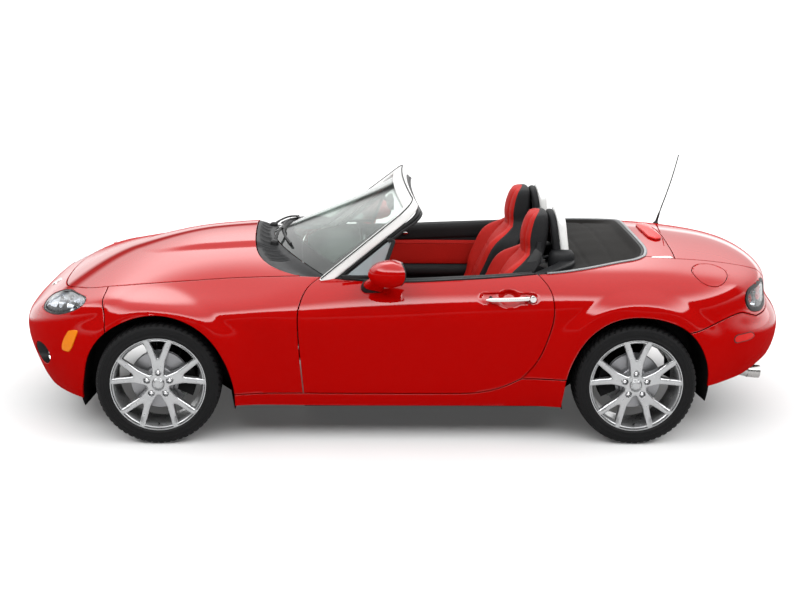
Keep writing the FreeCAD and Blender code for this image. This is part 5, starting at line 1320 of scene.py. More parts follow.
amber_lens = plastic("amber_lens", (0.42, 0.10, 0.0005), (0.64, 0.19, 0.0010))
red_lens = plastic("red_lens", (0.30, 0.004, 0.004), (0.55, 0.016, 0.012))
plated, shade, shader = finish("plated_reflector", {"Metallic": 1.0})
feed(shader, "Base Color", shade.noise(30.0, 2.0).mix((0.42, 0.43, 0.45), (0.60, 0.61, 0.63)))
feed(shader, "Roughness", shade.noise(50.0, 2.0) * 0.06 + 0.10)
feed(shader, "Normal", shade.wave(1, 330.0).bump(0.25, 0.0012))


def filled(outline, lift, rings=16, bow=0.0):
    """A lens over a closed outline: the outline's rings drawn in to the middle, each put on the skin, then lifted along
    the skin by lift; the outermost ring turns down 6 mm into the opening, and the back follows 3 mm behind."""
    centre = outline.mean(0)
    share = np.linspace(1, 0, rings)[:, None, None]
    ring = onto_skin(centre + (outline[None] - centre) * share)
    normal = skin_normal(ring)
    roll = 0.003 * (1 - np.sqrt(1 - np.clip((share - .94) / .06, 0, 1) ** 2))
    shape = ring + normal * (lift - roll + bow * (1 - share ** 2))
    shape = shape + (centre - shape) * 0.010 * (share > .5)
    wall = shape[0] - normal[0] * 0.006
    back = (shape - normal * 0.003)[1:]
    both = np.concatenate([back[::-1], (shape[0] - normal[0] * .003 + (centre - shape[0]) * .03)[None], wall[None],
                           shape])
    return facing_out(both.reshape(-1, 3), grid_faces(len(both), len(outline), closed=True))


def housing(outline, depth, floor=0.55, grow=1.02):
    """A lamp's black bowl: from just behind the opening's edge it narrows smoothly to a flat floor at its depth, with
    an even wall of 2 mm."""
    centre = outline.mean(0)
    inward = -skin_normal(centre[None])[0]
    t = np.linspace(0, 1, 14)[:, None, None]
    size = grow - (grow - floor) * t ** 2.2
    bowl = centre + (outline[None] - centre) * size + inward * (.004 + depth * np.sin(t * math.pi / 2))
    sink, shrink = inward * (.004 + depth), np.linspace(.8, .001, 6)[:, None, None]
    floor_rings = centre + (bowl[-1:] - centre - sink) * shrink + sink
    inner = np.concatenate([bowl, floor_rings])
    outer = (inner + inward * .002)[::-1]
    outer = outer + (outer - centre - inward * ((outer - centre) @ inward)[..., None]) * .01
    both = np.concatenate([inner, outer])
    return facing_out(both.reshape(-1, 3), grid_faces(len(both), len(outline), closed=True))


def bowl_at(centre, ahead, radius, depth, rim=0.004, tip=0.010):
    """A round reflector: a paraboloid opening ahead, its rolled rim outside and its bulb shroud standing in it."""
    ahead = np.asarray(ahead, float) / np.linalg.norm(ahead)
    u = np.cross(ahead, (0, 0, 1))
    u /= np.linalg.norm(u)
    v = np.cross(u, ahead)
    r = np.array([0.001, .2, .2, .35, .5, .65, .8, .92, 1, 1.05, 1.07, 1.05, .9, .6, .001]) * radius
    h = np.concatenate([[tip, tip * .8, -depth * .96], -depth * (1 - np.array([.35, .5, .65, .8, .92, 1]) ** 2),
                        [rim * .6, 0, -rim * .5, -depth * .4, -depth * .9, -depth * 1.1]])
    return turned(centre, u, v, ahead, list(zip(r, h)))


def ring_round(path, width, height):
    """A moulding carried once round a closed line, its first measure along the skin's outward direction."""
    path = even(np.vstack([path, path[:1]]), len(path) + 1)[:-1]
    n = skin_normal(onto_skin(path))
    ahead = np.roll(path, -1, axis=0) - np.roll(path, 1, axis=0)
    ahead /= np.linalg.norm(ahead, axis=1, keepdims=True)
    side = np.cross(ahead, n)
    section = corner_round(width, height, min(width, height) * .35)
    points = path[:, None] + section[None, :, :1] * n[:, None] + section[None, :, 1:] * side[:, None]
    return facing_out(points.reshape(-1, 3), grid_faces(len(path), len(section), closed=True, ring=True))


head_middle, head_out = headlamp.mean(0), skin_normal(headlamp)
both_hands("headlamp_glass", filled(headlamp, -.0012, bow=.002), clear_lens, slot="clear_lens", rides="root")
head_housing = both_hands("headlamp_housing", housing(headlamp, .075, floor=.72), black_plastic, rides="root")
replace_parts(head_housing[0], "headlamps")
face_ahead = np.array((.80, .38, .30))
bowls = [bowl_at(head_middle + (-.034, -.004, -.012), face_ahead, .046, .034),
         bowl_at(head_middle + (.020, -.064, -.018), face_ahead, .034, .026),
         bowl_at(head_middle + (-.080, .070, -.018), face_ahead, .026, .020)]
both_hands("headlamp_bowls", together(*bowls), plated, smooth=35, rides="root")
inner_edge = head_middle + (headlamp - head_middle) * .93 - head_out * .010
bezel_inner = head_middle + (headlamp - head_middle) * .60 - head_out * .030
bezel = np.concatenate([inner_edge[None], (inner_edge * .55 + bezel_inner * .45 - head_out * .003)[None],
                        bezel_inner[None], (bezel_inner - head_out * .002)[None],
                        (inner_edge - head_out * .002)[None]])
bezel = facing_out(np.concatenate([bezel, bezel[:1]]).reshape(-1, 3), grid_faces(6, len(headlamp), closed=True))
both_hands("headlamp_bezel", bezel, plated, smooth=40, rides="root")
ledge = onto_skin(line((1.806, .540, .602), (1.770, .601, .600), (1.719, .660, .607), (1.664, .700, .627), steps=40))
ledge_out = skin_normal(ledge)
ledge_in = onto_skin(line((1.800, .500, .622), (1.750, .575, .622), (1.705, .632, .630), (1.655, .680, .642), steps=40))
ledge_grid = np.stack([ledge + (ledge_in - ledge) * t - ledge_out * (.005 + .010 * t ** 2)
                       for t in np.linspace(.04, 1, 8)])
ledge_ribs = .0016 * np.sin(np.arange(40) * 1.1)[None, :, None] * ledge_out[None]
ledge_grid = ledge_grid + ledge_ribs
ledge_back = ledge_grid - ledge_out[None] * .003
ledge_shape = facing_out(np.concatenate([ledge_grid, ledge_back[::-1], ledge_grid[:1]]).reshape(-1, 3),
                         grid_faces(17, 40))
both_hands("headlamp_ledge", ledge_shape, black_seal, rides="root")
both_hands("headlamp_seal", ring_round(headlamp - head_out * .003, .005, .004), black_seal, rides="root")

marker = onto_skin(line((1.661, .718, .537), (1.635, .735, .546), (1.610, .753, .546), (1.614, .752, .525),
                        (1.628, .745, .490), (1.647, .732, .448), (1.659, .722, .434), (1.680, .705, .431),
                        (1.697, .690, .435), (1.697, .692, .463), (1.683, .704, .500), (1.661, .718, .537),
                        steps=120))[:-1]
both_hands("front_marker", filled(marker, .0035, rings=18), amber_lens, rides="root")
rear_marker = onto_skin(line((-1.609, .737, .512), (-1.618, .733, .498), (-1.640, .720, .495), (-1.674, .698, .496),
                             (-1.715, .666, .501), (-1.731, .651, .513), (-1.722, .658, .527), (-1.690, .684, .534),
                             (-1.64, .718, .533), (-1.617, .733, .527), (-1.609, .737, .512), steps=120))[:-1]
both_hands("rear_marker", filled(rear_marker, .0025, rings=18), red_lens, rides="root")
both_hands("rear_marker_seal", ring_round(rear_marker, .004, .005), black_seal, rides="root")

fog_middle = fog_pocket.mean(0)
pocket_depth = np.array((-.085, 0, 0.004))
t = np.linspace(0, 1, 14)[:, None, None]
pocket = fog_middle + (fog_pocket[None] - fog_middle) * (1.02
                                                         - .28 * t ** 1.5) + pocket_depth * np.sin(t * math.pi
        / 2) - skin_normal(fog_pocket)[None] * .004
pocket = np.concatenate([pocket, fog_middle + pocket_depth + (pocket[-1:] - fog_middle - pocket_depth)
                         * np.linspace(.8, .001, 5)[:, None, None]])
pocket = np.concatenate([pocket, (pocket + (-.003, 0, 0))[::-1]])
pocket = facing_out(pocket.reshape(-1, 3), grid_faces(len(pocket), len(fog_pocket), closed=True))
both_hands("fog_pocket", pocket, black_plastic, slot="black_plastic", rides="root")
fog_ahead = np.array((.93, .28, .0))
fog_place = fog_middle + (-.040, .004, -.006)
both_hands("fog_bowl", bowl_at(fog_place + (-.012, 0, 0), fog_ahead, .034, .030, rim=.008), plated, smooth=35,
           rides="root")
fog_ring = bowl_at(fog_place, fog_ahead, .0375, .016, rim=.010, tip=-.012)
both_hands("fog_bezel", fog_ring, chrome, smooth=35, rides="root")

tail_middle = tail_lamp.mean(0)
both_hands("tail_lamp_glass", filled(tail_lamp, -.0012, bow=.003), clear_lens, slot="clear_lens", rides="root")
tail_housing = both_hands("tail_lamp_housing", housing(tail_lamp, .050, floor=.82), black_plastic, rides="root")
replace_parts(tail_housing[0], "tail_lamps")
tail_back = np.array((-.72, .66, .10))
tail_in = -skin_normal(tail_middle[None])[0]
tail_bowls = [bowl_at(tail_middle + tail_in * .022 + np.array(o), tail_back, r, .020, rim=.003) for o,
              r in (((.004, .004, .045), .030), ((-.036, -.050, .030), .028), ((.0, .0, -.038), .026))]
both_hands("tail_lamp_bowls", together(*tail_bowls), plated, smooth=35, rides="root")
tail_reds = [bowl_at(tail_middle + tail_in * .012 + np.array(o), tail_back, .021, .010, tip=.008)
             for o in ((.036, .034, -.012), (-.022, -.024, -.008), (-.020, -.028, .030))]
both_hands("tail_lamp_reds", together(*tail_reds), red_lens, smooth=35, rides="root")
surround = onto_skin(tail_middle + (tail_lamp - tail_middle) * .89)
both_hands("tail_lamp_surround", ring_round(surround - skin_normal(surround) * .0005, .005, .022), black_seal,
           rides="root")

pod_half = onto_skin(line((-1.300, .215, .9), (-1.276, .185, .9), (-1.262, .12, .9), (-1.255, 0, .9), steps=60))
pod_back = onto_skin(line((-1.336, 0, .9), (-1.338, .12, .9), (-1.330, .190, .9), (-1.300, .215, .9), steps=60))
pod = np.vstack([two_sided(pod_half)[:-1], two_sided(pod_back[::-1])[::-1][:-1]])
piece("brake_lamp_pod", *filled(pod, .012, rings=22, bow=.006), red_lens)

# ---------------------------------------------------------------------------
# Seats. Moulded foam on a steel frame, one body from cushion to head, trimmed
# in red leather where the sitter rests and black leather round the sides and
# back, with sewn seams that draw the leather in.
# ---------------------------------------------------------------------------


def leather(name, dark, light):
    """Fine pebbled grain: small rounded cells with creases between, slightly polished where the cells are high."""
    made, shade, shader = finish(name, {"Specular IOR Level": 0.16})
    place = shade.node("ShaderNodeTexCoord", outlet=3)
    cells = shade.node("ShaderNodeTexVoronoi", {"feature": "DISTANCE_TO_EDGE"}, {"Vector": place, "Scale": 420.0})
    grain = cells.ease(0.0, 0.35)
    worn = shade.noise(9.0, 4.0)
    feed(shader, "Base Color", (grain * 0.5 + worn * 0.5).mix(dark, light))
    feed(shader, "Roughness", 0.62 - grain * 0.12 + worn * 0.08)
    feed(shader, "Normal", (grain + shade.noise(60.0, 3.0) * 0.8).bump(0.30, 0.0008))
    return made


red_leather = leather("red_leather", (0.27, 0.0045, 0.002), (0.40, 0.009, 0.005))
black_leather = leather("black_leather", (0.0055, 0.0055, 0.0060), (0.0115, 0.0115, 0.0125))
SEAT_ROWS = np.array([(.098, .330, .088, .190, .215, .80, .0), (.124, .395, .096, .172, .235, .80, .004),
                      (.128, .455, .070, .168, .242, .80, .012), (.092, .492, .020, .168, .246, .80, .026),
                      (-.060, .478, -.070, .168, .250, .80, .040), (-.210, .455, -.180, .168, .250, .80, .045),
                      (-.320, .452, -.330, .172, .250, .80, .045), (-.383, .505, -.465, .230, .252, .86, .048),
                      (-.425, .600, -.525, .500, .254, .94, .052), (-.462, .680, -.572, .600, .256, .94, .056),
                      (-.500, .755, -.604, .700, .254, .94, .058), (-.540, .815, -.640, .780, .240, .94, .050),
                      (-.574, .858, -.668, .842, .200, .92, .026), (-.588, .892, -.690, .892, .152, .90, .004),
                      (-.586, .940, -.704, .950, .138, .90, .0), (-.590, .990, -.710, 1.000, .134, .90, .0),
                      (-.602, 1.035, -.708, 1.045, .126, .90, .0), (-.620, 1.070, -.702, 1.078, .110, .88, .0),
                      (-.645, 1.090, -.690, 1.094, .072, .86, .0)])


def end_caps(ring, last):
    """Fans of triangles over the first ring of places and, turned over, the last, whose numbers are higher by last."""
    fan = np.stack([np.full(len(ring) - 2, ring[0]), ring[1:-1], ring[2:]], 1)
    return np.vstack([fan, last + fan[:, [0, 2, 1]]])


def seat_shape(side):
    """A seat as rings that climb from the cushion's front edge to the head: each ring is a rounded oblong between the
    row's front and back places. Bolsters swell along both sides, the middle is crowned between sunk seams, and cross
    seams sink it again at even steps."""
    along = np.concatenate([[0], np.cumsum(np.hypot(*np.diff(SEAT_ROWS[:, :2], axis=0).T))])
    at = np.linspace(0, along[-1], 230)
    fx, fz, bx, bz, half, share, proud = (bend_through(np.stack([along, c], 1), at)[:, None] for c in SEAT_ROWS.T)
    turn = np.linspace(0, 2 * math.pi, 128, endpoint=False)[None]
    s, c = np.sin(turn), np.cos(turn)
    a = np.sign(s) * np.abs(s) ** 0.75
    deep = np.sign(c) * np.abs(c) ** 0.40
    front = smooth_step((c + .05) / .3)
    wide = np.abs(a)
    bolster = smooth_step((wide - .46) / .36) * (1 - .30 * smooth_step((wide - .86) / .14))
    seam = np.exp(-((wide - .52) * half / .0045) ** 2) + .7 * np.exp(-((wide - .945) * half / .004) ** 2)
    steps = np.array([.22, .36, .50, .66, .80, .94])
    cross = sum(np.exp(-((at[:, None] - k) / .0045) ** 2) for k in steps) * (wide < .52)
    neck = np.exp(-((fz - .886) / .007) ** 2) * (at[:, None] > .8)
    pillow = .012 * (1 - np.clip(wide / .52, 0, 1) ** 2.2)
    lift = front * (proud * bolster + pillow - .0045 * (seam + cross) - .004 * neck)
    ends = np.minimum(1, np.minimum((at[:, None] - at[0]) / .035, (at[-1] - at[:, None]) / .030))
    ends = np.sqrt(np.clip(1 - (1 - np.clip(ends, 0, 1)) ** 2, .0008, 1))
    reach = np.stack([fx - bx, fz - bz], -1)
    thick = np.linalg.norm(reach, axis=-1)
    way = reach / thick[..., None]
    middle = np.stack([(fx + bx) / 2, (fz + bz) / 2], -1)
    out = thick * .5 * deep * ends + lift * ends
    narrow = half * (share + (1 - share) * (deep + 1) / 2)
    y = .365 * side + a * narrow * ends
    points = np.stack([middle[..., 0] + way[..., 0] * out, y, middle[..., 1] + way[..., 1] * out], -1)
    faces = grid_faces(230, 128, closed=True)
    head = fz[faces[:, 0] // 128, 0] > .888
    column = faces[:, 0] % 128
    red = (front[0, column] > .6) & (wide[0, column] < .93) & (~head | (c[0, column] > .42))
    caps = end_caps(np.arange(128), 229 * 128)
    return points.reshape(-1, 3), faces, caps, red


for side, name in ((1, "left"), (-1, "right")):
    points, faces, caps, red = seat_shape(side)
    points, both = facing_out(points, [faces, caps])
    seat = piece(name + "_seat_trim", points, both, [black_leather, red_leather], slot="seat_leather", smooth=60)
    seat.data.polygons.foreach_set("material_index", np.concatenate([red, np.zeros(len(caps), bool)]).astype(np.int32))
    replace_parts(seat, name + "_seat")
    rails = together(*[swept([(.06, y, .166), (-.34, y, .166)], (0, 0, 1), corner_round(.034, .028, .006))
                       for y in (side * .365 - .17, side * .365 + .17)])
    piece(name + "_seat_rails", *rails, black_plastic)
    belt_run = line((-.655, side * .600, .845), (-.63, side * .600, .80), (-.60, side * .605, .70),
                    (-.585, side * .612, .50), (-.575, side * .618, .30), steps=40)
    belt_strap = swept(belt_run, (1, .3, 0), corner_round(.046, .0022, .001))
    slide = swept(line((-.652, side * .510, .905), (-.60, side * .560, .840), (-.545, side * .600, .760),
                       (-.495, side * .622, .690), steps=20), (1, 0, .6), corner_round(.046, .0024, .001))
    piece(name + "_belt", *together(belt_strap, slide), black_seal)

# ---------------------------------------------------------------------------
# Door trims. A moulded board on each door: a soft black pad along the top, a
# red leather panel, and a black armrest with the pull cut into it.
# ---------------------------------------------------------------------------
trim_x = np.linspace(.392, -.598, 100)
top_edge = np.stack([np.interp(-trim_x, -belt[:, 0], belt[:, k]) for k in (1, 2)], 1)
# The board's section from the belt strip over the top and down: share of the way from belt to inner face, and drop.
TRIM_SECTION = [(0, 0), (.30, .006), (.62, .008), (.86, .002), (.98, -.010), (1.0, -.026), (1.0, -.045), (1.0, -.064),
                (1.0, -.076), (1.0, -.0785)]
rows = []
for k, (share_in, drop) in enumerate(TRIM_SECTION):
    y = top_edge[:, 0] - .012 - (top_edge[:, 0] - .012 - .655) * share_in
    y = y + {8: .002, 9: .006}.get(k, 0)
    rows.append(np.stack([trim_x, y, top_edge[:, 1] + drop], 1))
low_rows = [(.7180, .660), (.7150, .654), (.700, .6505), (.6985, .6555), (.6970, .6505), (.66, .651), (.62, .652),
            (.585, .6535), (.5800, .6555), (.5785, .660), (.5760, .652), (.570, .640), (.556, .632), (.538, .630),
            (.524, .634), (.512, .646), (.505, .654), (.47, .656), (.43, .657), (.40, .658), (.36, .660),
            (.345, .668), (.340, .690)]
reach = smooth_step((trim_x + .56) / .10) * smooth_step((.16 - trim_x) / .14)
for z, y in low_rows:
    inner = y if y > .649 else .6555 - (.6555 - y) * reach
    rows.append(np.stack([trim_x, inner + 0 * trim_x, np.full(100, z)], 1))
back_rows = [np.stack([trim_x, np.full(100, .694), np.full(100, z)], 1) for z in (.345, .60)]
back_top = np.stack([trim_x, np.minimum(.694, top_edge[:, 0] - .013), top_edge[:, 1] - .02], 1)
board = np.array(rows + back_rows + [back_top])
slant = np.clip((board[..., 2] - .40) / .4, 0, 1)
front_slant = np.where(board[..., 0] > .2, (board[..., 0] - .2) / .19 * .02 * slant, 0)
rear_slant = np.where(board[..., 0] < -.45, -(board[..., 0] + .45) * (1 - slant) * .55, 0)
board[..., 0] += front_slant + rear_slant
n_rows = len(board)
board_faces = np.vstack([grid_faces(n_rows, 100),
                         np.stack([(n_rows - 1) * 100 + np.arange(99), (n_rows - 1) * 100 + np.arange(1, 100),
                                   np.arange(1, 100), np.arange(99)], 1)])
side_caps = end_caps(np.arange(n_rows) * 100, 99)
board_points, board_all = facing_out(board.reshape(-1, 3), [board_faces, side_caps])
row_of = np.concatenate([board_faces[:, 0] // 100, np.zeros(len(side_caps), int)])
is_red = (row_of >= 10) & (row_of <= 18)
trims = both_hands("trim_board", (board_points, board_all), [black_leather, red_leather], "door_trim",
                   hides="door_trim", smooth=50)
for made in trims:
    made.data.polygons.foreach_set("material_index", is_red.astype(np.int32))
handle_cup = swept(line((-.022, .650, .758), (-.038, .646, .760), (-.056, .650, .758), steps=16), (0, 0, 1),
                   tapered(corner_round(.014, .008, .0035), 16, (0, .25, .75, 1), (.5, 1, 1, .5)))
both_hands("inner_handle", handle_cup, chrome)
grille_rows = [(.078, .659), (.078, .651), (.074, .648), (.071, .650), (.055, .647), (.03, .645), (.0004, .644)]
speaker = turned((.245, 0, .455), (1, 0, 0), (0, 0, 1), (0, 1, 0), grille_rows, 60)
both_hands("speaker_grille", speaker, black_plastic, "black_plastic")

# ---------------------------------------------------------------------------
# Hoops and rear trim. Two steel hoops stand behind the seats, silver behind
# and padded in front; moulded black covers carry them and run out to the doors.
# ---------------------------------------------------------------------------
for side, name in ((1, "left"), (-1, "right")):
    middle = .355 * side
    climb = np.array([(-.812, -.108, .655), (-.796, -.110, .740), (-.780, -.112, .850), (-.764, -.112, .950),
                      (-.757, -.110, 1.002), (-.752, -.098, 1.040), (-.748, -.072, 1.066), (-.746, -.036, 1.078),
                      (-.745, 0, 1.081)])
    whole = np.vstack([climb, (climb * (1, -1, 1))[-2::-1]])
    path = line(*(whole + (0, middle, 0)), steps=90)
    silver_part = swept(path - (.014, 0, -.006), (1, 0, 0), corner_round(.044, .040, .018, 8))
    hoop = piece(name + "_hoop", *silver_part, silver_paint, slot="silver_paint")
    inner = path + (.022, 0, -.013)
    inner[:, 1] = middle + (inner[:, 1] - middle) * .99
    pad = swept(inner, (1, 0, 0), corner_round(.038, .044, .018, 8))
    piece(name + "_hoop_pad", *pad, black_leather, slot="black_plastic")
    bpy.data.objects[name + "_hoop_pad"]
    if side > 0:
        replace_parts(hoop, "roll_hoops")
    u, v = np.meshgrid(np.linspace(-1, 1, 30), np.linspace(0, 1, 40), indexing="ij")
    height = .70 + v * (.362 - .050 * np.abs(u) ** 4)
    web = np.stack([np.interp(height, (.65, .85, 1.08), (-.812, -.780, -.745)) + .026, middle + u * .098, height], -1)
    web = slab(web.reshape(-1, 3), (web - (.010, 0, 0)).reshape(-1, 3), 30, 40)
    piece(name + "_hoop_web", *web, black_plastic, slot="black_plastic")
    shell_path = line((-.560, side * .672, .800), (-.600, side * .655, .812), (-.66, side * .635, .826),
                      (-.72, side * .600, .836), (-.775, side * .55, .842), (-.80, side * .48, .842),
                      (-.805, side * .38, .835), (-.805, side * .26, .832), steps=70)
    t_along = np.linspace(0, 1, 70)
    tall = np.interp(t_along, (0, .05, .2, .5, .8, 1), (.25, .50, .80, 1.0, 1.0, .8))
    shell = swept(shell_path - (0, 0, .03), (0, 0, 1),
                  np.stack([tall[:, None] * corner_round(.088, .080, .012, 8)[None, :, 0],
                            np.interp(t_along, (0, .1, .5, 1), (.3, .7, 1, 1))[:, None]
                            * corner_round(.088, .080, .012, 8)[None, :, 1]], -1))
    rise_by = [(.078, -.05), (.078, .0), (.074, .022), (.060, .038), (.040, .046), (.028, .047), (.026, .02)]
    humps = [turned((-.772, middle + out, .862), (.86, 0, 0), (0, .72, 0), (0, 0, 1), rise_by, 40)
             for out in (.112, -.112)]
    piece(name + "_hoop_cover", *together(shell, *humps), black_plastic, slot="black_plastic")
    guide = swept(line((-.662, side * .520, .845), (-.650, side * .505, .895), (-.655, side * .498, .948), steps=16),
                  (0, 1, 0), tapered(corner_round(.012, .030, .005), 16, (0, .6, 1), (1.2, 1, .7)))
    arm = swept(line((-.655, side * .50, .868), (-.70, side * .46, .868), (-.745, side * .44, .868), steps=12),
                (0, 0, 1), corner_round(.010, .022, .004))
    piece(name + "_belt_guide", *together(guide, arm), black_plastic)
u, v = np.meshgrid(np.linspace(-1, 1, 60), np.linspace(0, 1, 24), indexing="ij")
shelf = np.stack([-.615 - .20 * v, u * .640, .70 + .105 * smooth_step(v * 1.6) - .02 * np.abs(u) ** 6
                  + .03 * smooth_step((np.abs(u) - .8) / .2)], -1).reshape(-1, 3)
shelf = slab(shelf, shelf - (0, 0, .02), 60, 24)
piece("rear_shelf", *shelf, black_plastic, slot="black_plastic")

# ---------------------------------------------------------------------------
# Folded soft top. Black acrylic cloth over its folded frame, drawn flat across
# the well; a satin grey moulding and a black seal run round the well's edge.
# ---------------------------------------------------------------------------
soft_top_cloth, shade, shader = finish("soft_top_cloth",
                                       {"Specular IOR Level": 0.05, "Sheen Weight": 0.02, "Sheen Roughness": 0.5})
weave = shade.wave(0, 2200.0) * shade.wave(1, 2200.0) * 0.5 + 0.5
feed(shader, "Base Color",
     (weave * 0.5 + shade.noise(6.0, 4.0) * 0.5).mix((0.0085, 0.0080, 0.0075), (0.018, 0.017, 0.016)))
feed(shader, "Roughness", 0.88 - weave * 0.08)
feed(shader, "Normal", weave.bump(0.25, 0.0005))
satin_grey = mottled("satin_grey", {"Metallic": 0.7}, (0.16, 0.165, 0.17), (0.22, 0.225, 0.23), (30.0, 2.0),
                     (90.0, 2.0, 0.1, 0.34))
well_edge = two_sided(joined(well_side[30:], well_back))
well_path = even(well_edge, 260)
rim_shape = swept(well_path + (0, 0, .002), (0, 0, 1), corner_round(.010, .016, .004))
toward = np.gradient(well_path, axis=0)
inward = np.cross((0, 0, 1), toward)
inward /= np.linalg.norm(inward, axis=1, keepdims=True)
inward *= np.sign((inward * (np.array([-.9, 0, .85]) - well_path)).sum(1, keepdims=True) + 1e-9)
piece("well_moulding", *rim_shape, satin_grey)
seal = swept(well_path + inward * .015 - (0, 0, .003), (0, 0, 1), corner_round(.014, .016, .006))
piece("well_seal", *seal, black_seal)
edge = even(well_path + inward * .022, 121)
centre = np.stack([np.full(121, -.80), edge[:, 1] * .92, np.full(121, .845)], 1)
share = np.linspace(0, 1, 60)[:, None, None]
cloth = edge * (1 - share) + centre * share
fold = .5 - .5 * np.cos(math.pi * np.clip(share[..., 0] / .12, 0, 1))
cloth[..., 2] += -.020 * fold + .012 * np.sin(math.pi
                                              * share[..., 0]) - .004 * np.exp(-((cloth[..., 0] + 1.03)
        / .012) ** 2) - .005 * np.exp(-((cloth[..., 0] + .90) / .010) ** 2)
cloth[..., 2] += .0012 * np.sin(cloth[..., 1] * 31 + cloth[..., 0] * 14) * share[..., 0]
sheet_points = cloth.reshape(-1, 3)
folded = slab(sheet_points, sheet_points - (0, 0, .0016), 60, 121)
roof = piece("folded_roof", *folded, soft_top_cloth, slot="soft_top_cloth")
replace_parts(roof, "folded_soft_top")
quad = sheet_points[grid_faces(60, 121)]
flat_area = float(np.linalg.norm(np.cross(quad[:, 1] - quad[:, 0], quad[:, 3] - quad[:, 0]), axis=1).sum())

# ---------------------------------------------------------------------------
# Dashboard, wheel and console. A soft moulded dash with a hood over the dials
# and round air vents, a leather-covered wheel, and a tunnel console with the
# gear lever and hand brake.
# ---------------------------------------------------------------------------
dash_y = np.linspace(-.655, .655, 200)[:, None]
dash_section = np.array([(.500, .745), (.455, .775), (.400, .800), (.330, .815), (.275, .817), (.240, .808),
                         (.222, .790), (.216, .765), (.2155, .757), (.2185, .752), (.212, .748), (.204, .720),
                         (.202, .690), (.210, .655), (.2125, .650), (.220, .648), (.228, .610), (.250, .580),
                         (.300, .562), (.360, .566), (.480, .605)])
dash_points = np.stack([dash_section[None, :, 0] + 0 * dash_y, dash_y + 0 * dash_section[None, :, 0],
                        dash_section[None, :, 1] + 0 * dash_y], -1)
hood = np.exp(-((dash_y[:, 0] - .365) / .155) ** 4)[:, None]
facing = smooth_step((.46 - dash_points[..., 0]) / .12) * smooth_step((dash_points[..., 2] - .70) / .06)
dash_points[..., 2] += .034 * hood * facing
dash_points[..., 0] -= .030 * hood * facing
stack = np.exp(-(dash_y[:, 0] / .135) ** 6)[:, None]
dash_points[..., 0] -= .018 * stack * smooth_step((.785 - dash_points[..., 2]) / .05) * (dash_points[..., 0] < .30)
dash_points[..., 2] -= .012 * (np.abs(dash_y) / .655) ** 4 * facing
n = len(dash_section)
dash = facing_out(dash_points.reshape(-1, 3), [grid_faces(200, n, closed=True), end_caps(np.arange(n), 199 * n)])
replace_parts(piece("dash_moulding", *dash, black_plastic, slot="black_plastic", smooth=45), "dashboard")


def dash_ring(y, z, radii, x0=.200):
    """A round fitting on the dash face: rings of (radius, distance out from the face)."""
    return turned((x0, y, z), (0, 1, 0), (0, 0, 1), (-1, 0, 0), radii)


vent_rows = [(.044, -.01), (.044, .006), (.0415, .009), (.038, .006), (.036, -.004), (.030, -.005), (.0295, .001),
             (.027, .001), (.0265, -.005), (.018, -.005), (.0175, .001), (.015, .001), (.0145, -.005), (.006, -.005),
             (.0055, .003), (.0004, .004)]
bezel_rows = [(.049, -.004), (.049, .007), (.0475, .009), (.0455, .007), (.0445, -.004)]
# Columns: width and length of each vent's middle.
VENTS = ((-.575, .2), (-.085, .186), (.085, .186), (.575, .2))
vents = together(*[dash_ring(y, .715, vent_rows, x) for y, x in VENTS])
piece("air_vents", *vents, black_seal)
bezels = together(*[dash_ring(y, .715, bezel_rows, x) for y, x in VENTS])
piece("vent_bezels", *bezels, satin_grey)
dials = together(*[dash_ring(.365 + y, .775 + z, [(r, -.012), (r, .0), (r - .003, .003), (r - .006, -.002),
                                                  (r - .0065, -.006), (.0004, -.006)], .192) for y, z,
                   r in ((-.052, 0, .046), (.052, 0, .046), (-.118, -.008, .026), (.118, -.008, .026),
                         (0, .028, .022))])
piece("dial_rings", *dials, satin_grey)
radio = together(swept([(.176, -.105, .640), (.176, .105, .640)], (0, 0, 1), corner_round(.056, .014, .004)),
                 *[dash_ring(y, .585, [(.019, -.008), (.019, .012), (.017, .015), (.0004, .0155)], .205)
                   for y in (-.062, 0, .062)])
piece("centre_controls", *radio, black_seal)

column = np.array((-math.cos(math.radians(24)), 0, math.sin(math.radians(24))))
hub_place = np.array((.045, .365, .668))
wheel_side, wheel_up = np.array((0, 1.0, 0)), np.array((column[2], 0, -column[0]))
a = np.linspace(0, 2 * math.pi, 120, endpoint=False)[:, None]
b = np.linspace(0, 2 * math.pi, 20, endpoint=False)[None]
grip = 1 + .12 * (np.exp(-((np.cos(a - math.radians(25)) - 1) / .02) ** 2)
                  + np.exp(-((np.cos(a - math.radians(155)) - 1) / .02) ** 2))
radial = .170 + .0145 * grip * np.cos(b)
rim_points = hub_place + radial[..., None] * (np.cos(a)[..., None] * wheel_side + np.sin(a)[..., None]
                                              * wheel_up) + (.0145 * grip * np.sin(b))[..., None] * column
wheel_rim = facing_out(rim_points.reshape(-1, 3), grid_faces(120, 20, closed=True, ring=True))
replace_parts(piece("wheel_rim", *wheel_rim, black_leather, "steering_wheel"), "steering_wheel")
pad_turn = np.linspace(0, 2 * math.pi, 72, endpoint=False)
pad_rows = []
for size, up_by in ((.86, -.034), (1, -.020), (1, .002), (.96, .009), (.86, .014), (.6, .019), (.3, .021),
                    (.004, .0215)):
    outline = .068 * size * (1 + .10 * np.cos(2 * pad_turn) + .05 * np.sin(pad_turn))
    pad_rows.append(hub_place - column * .012
                    + outline[:, None] * (np.cos(pad_turn)[:, None] * wheel_side + np.sin(pad_turn)[:, None]
                                          * wheel_up) + column * up_by)
pad = facing_out(np.vstack(pad_rows), grid_faces(8, 72, closed=True))
arms = []
for turn_to in (8, 172, 270):
    way = math.radians(turn_to)
    reach = wheel_side * math.cos(way) + wheel_up * math.sin(way)
    t = np.linspace(0, 1, 16)[:, None]
    arms.append(swept(hub_place + reach * (.052 + .112 * t) - column * .016 * (1 - t), column,
                      tapered(corner_round(.012, .034, .005), 16, (0, 1), (1.3, .85))))
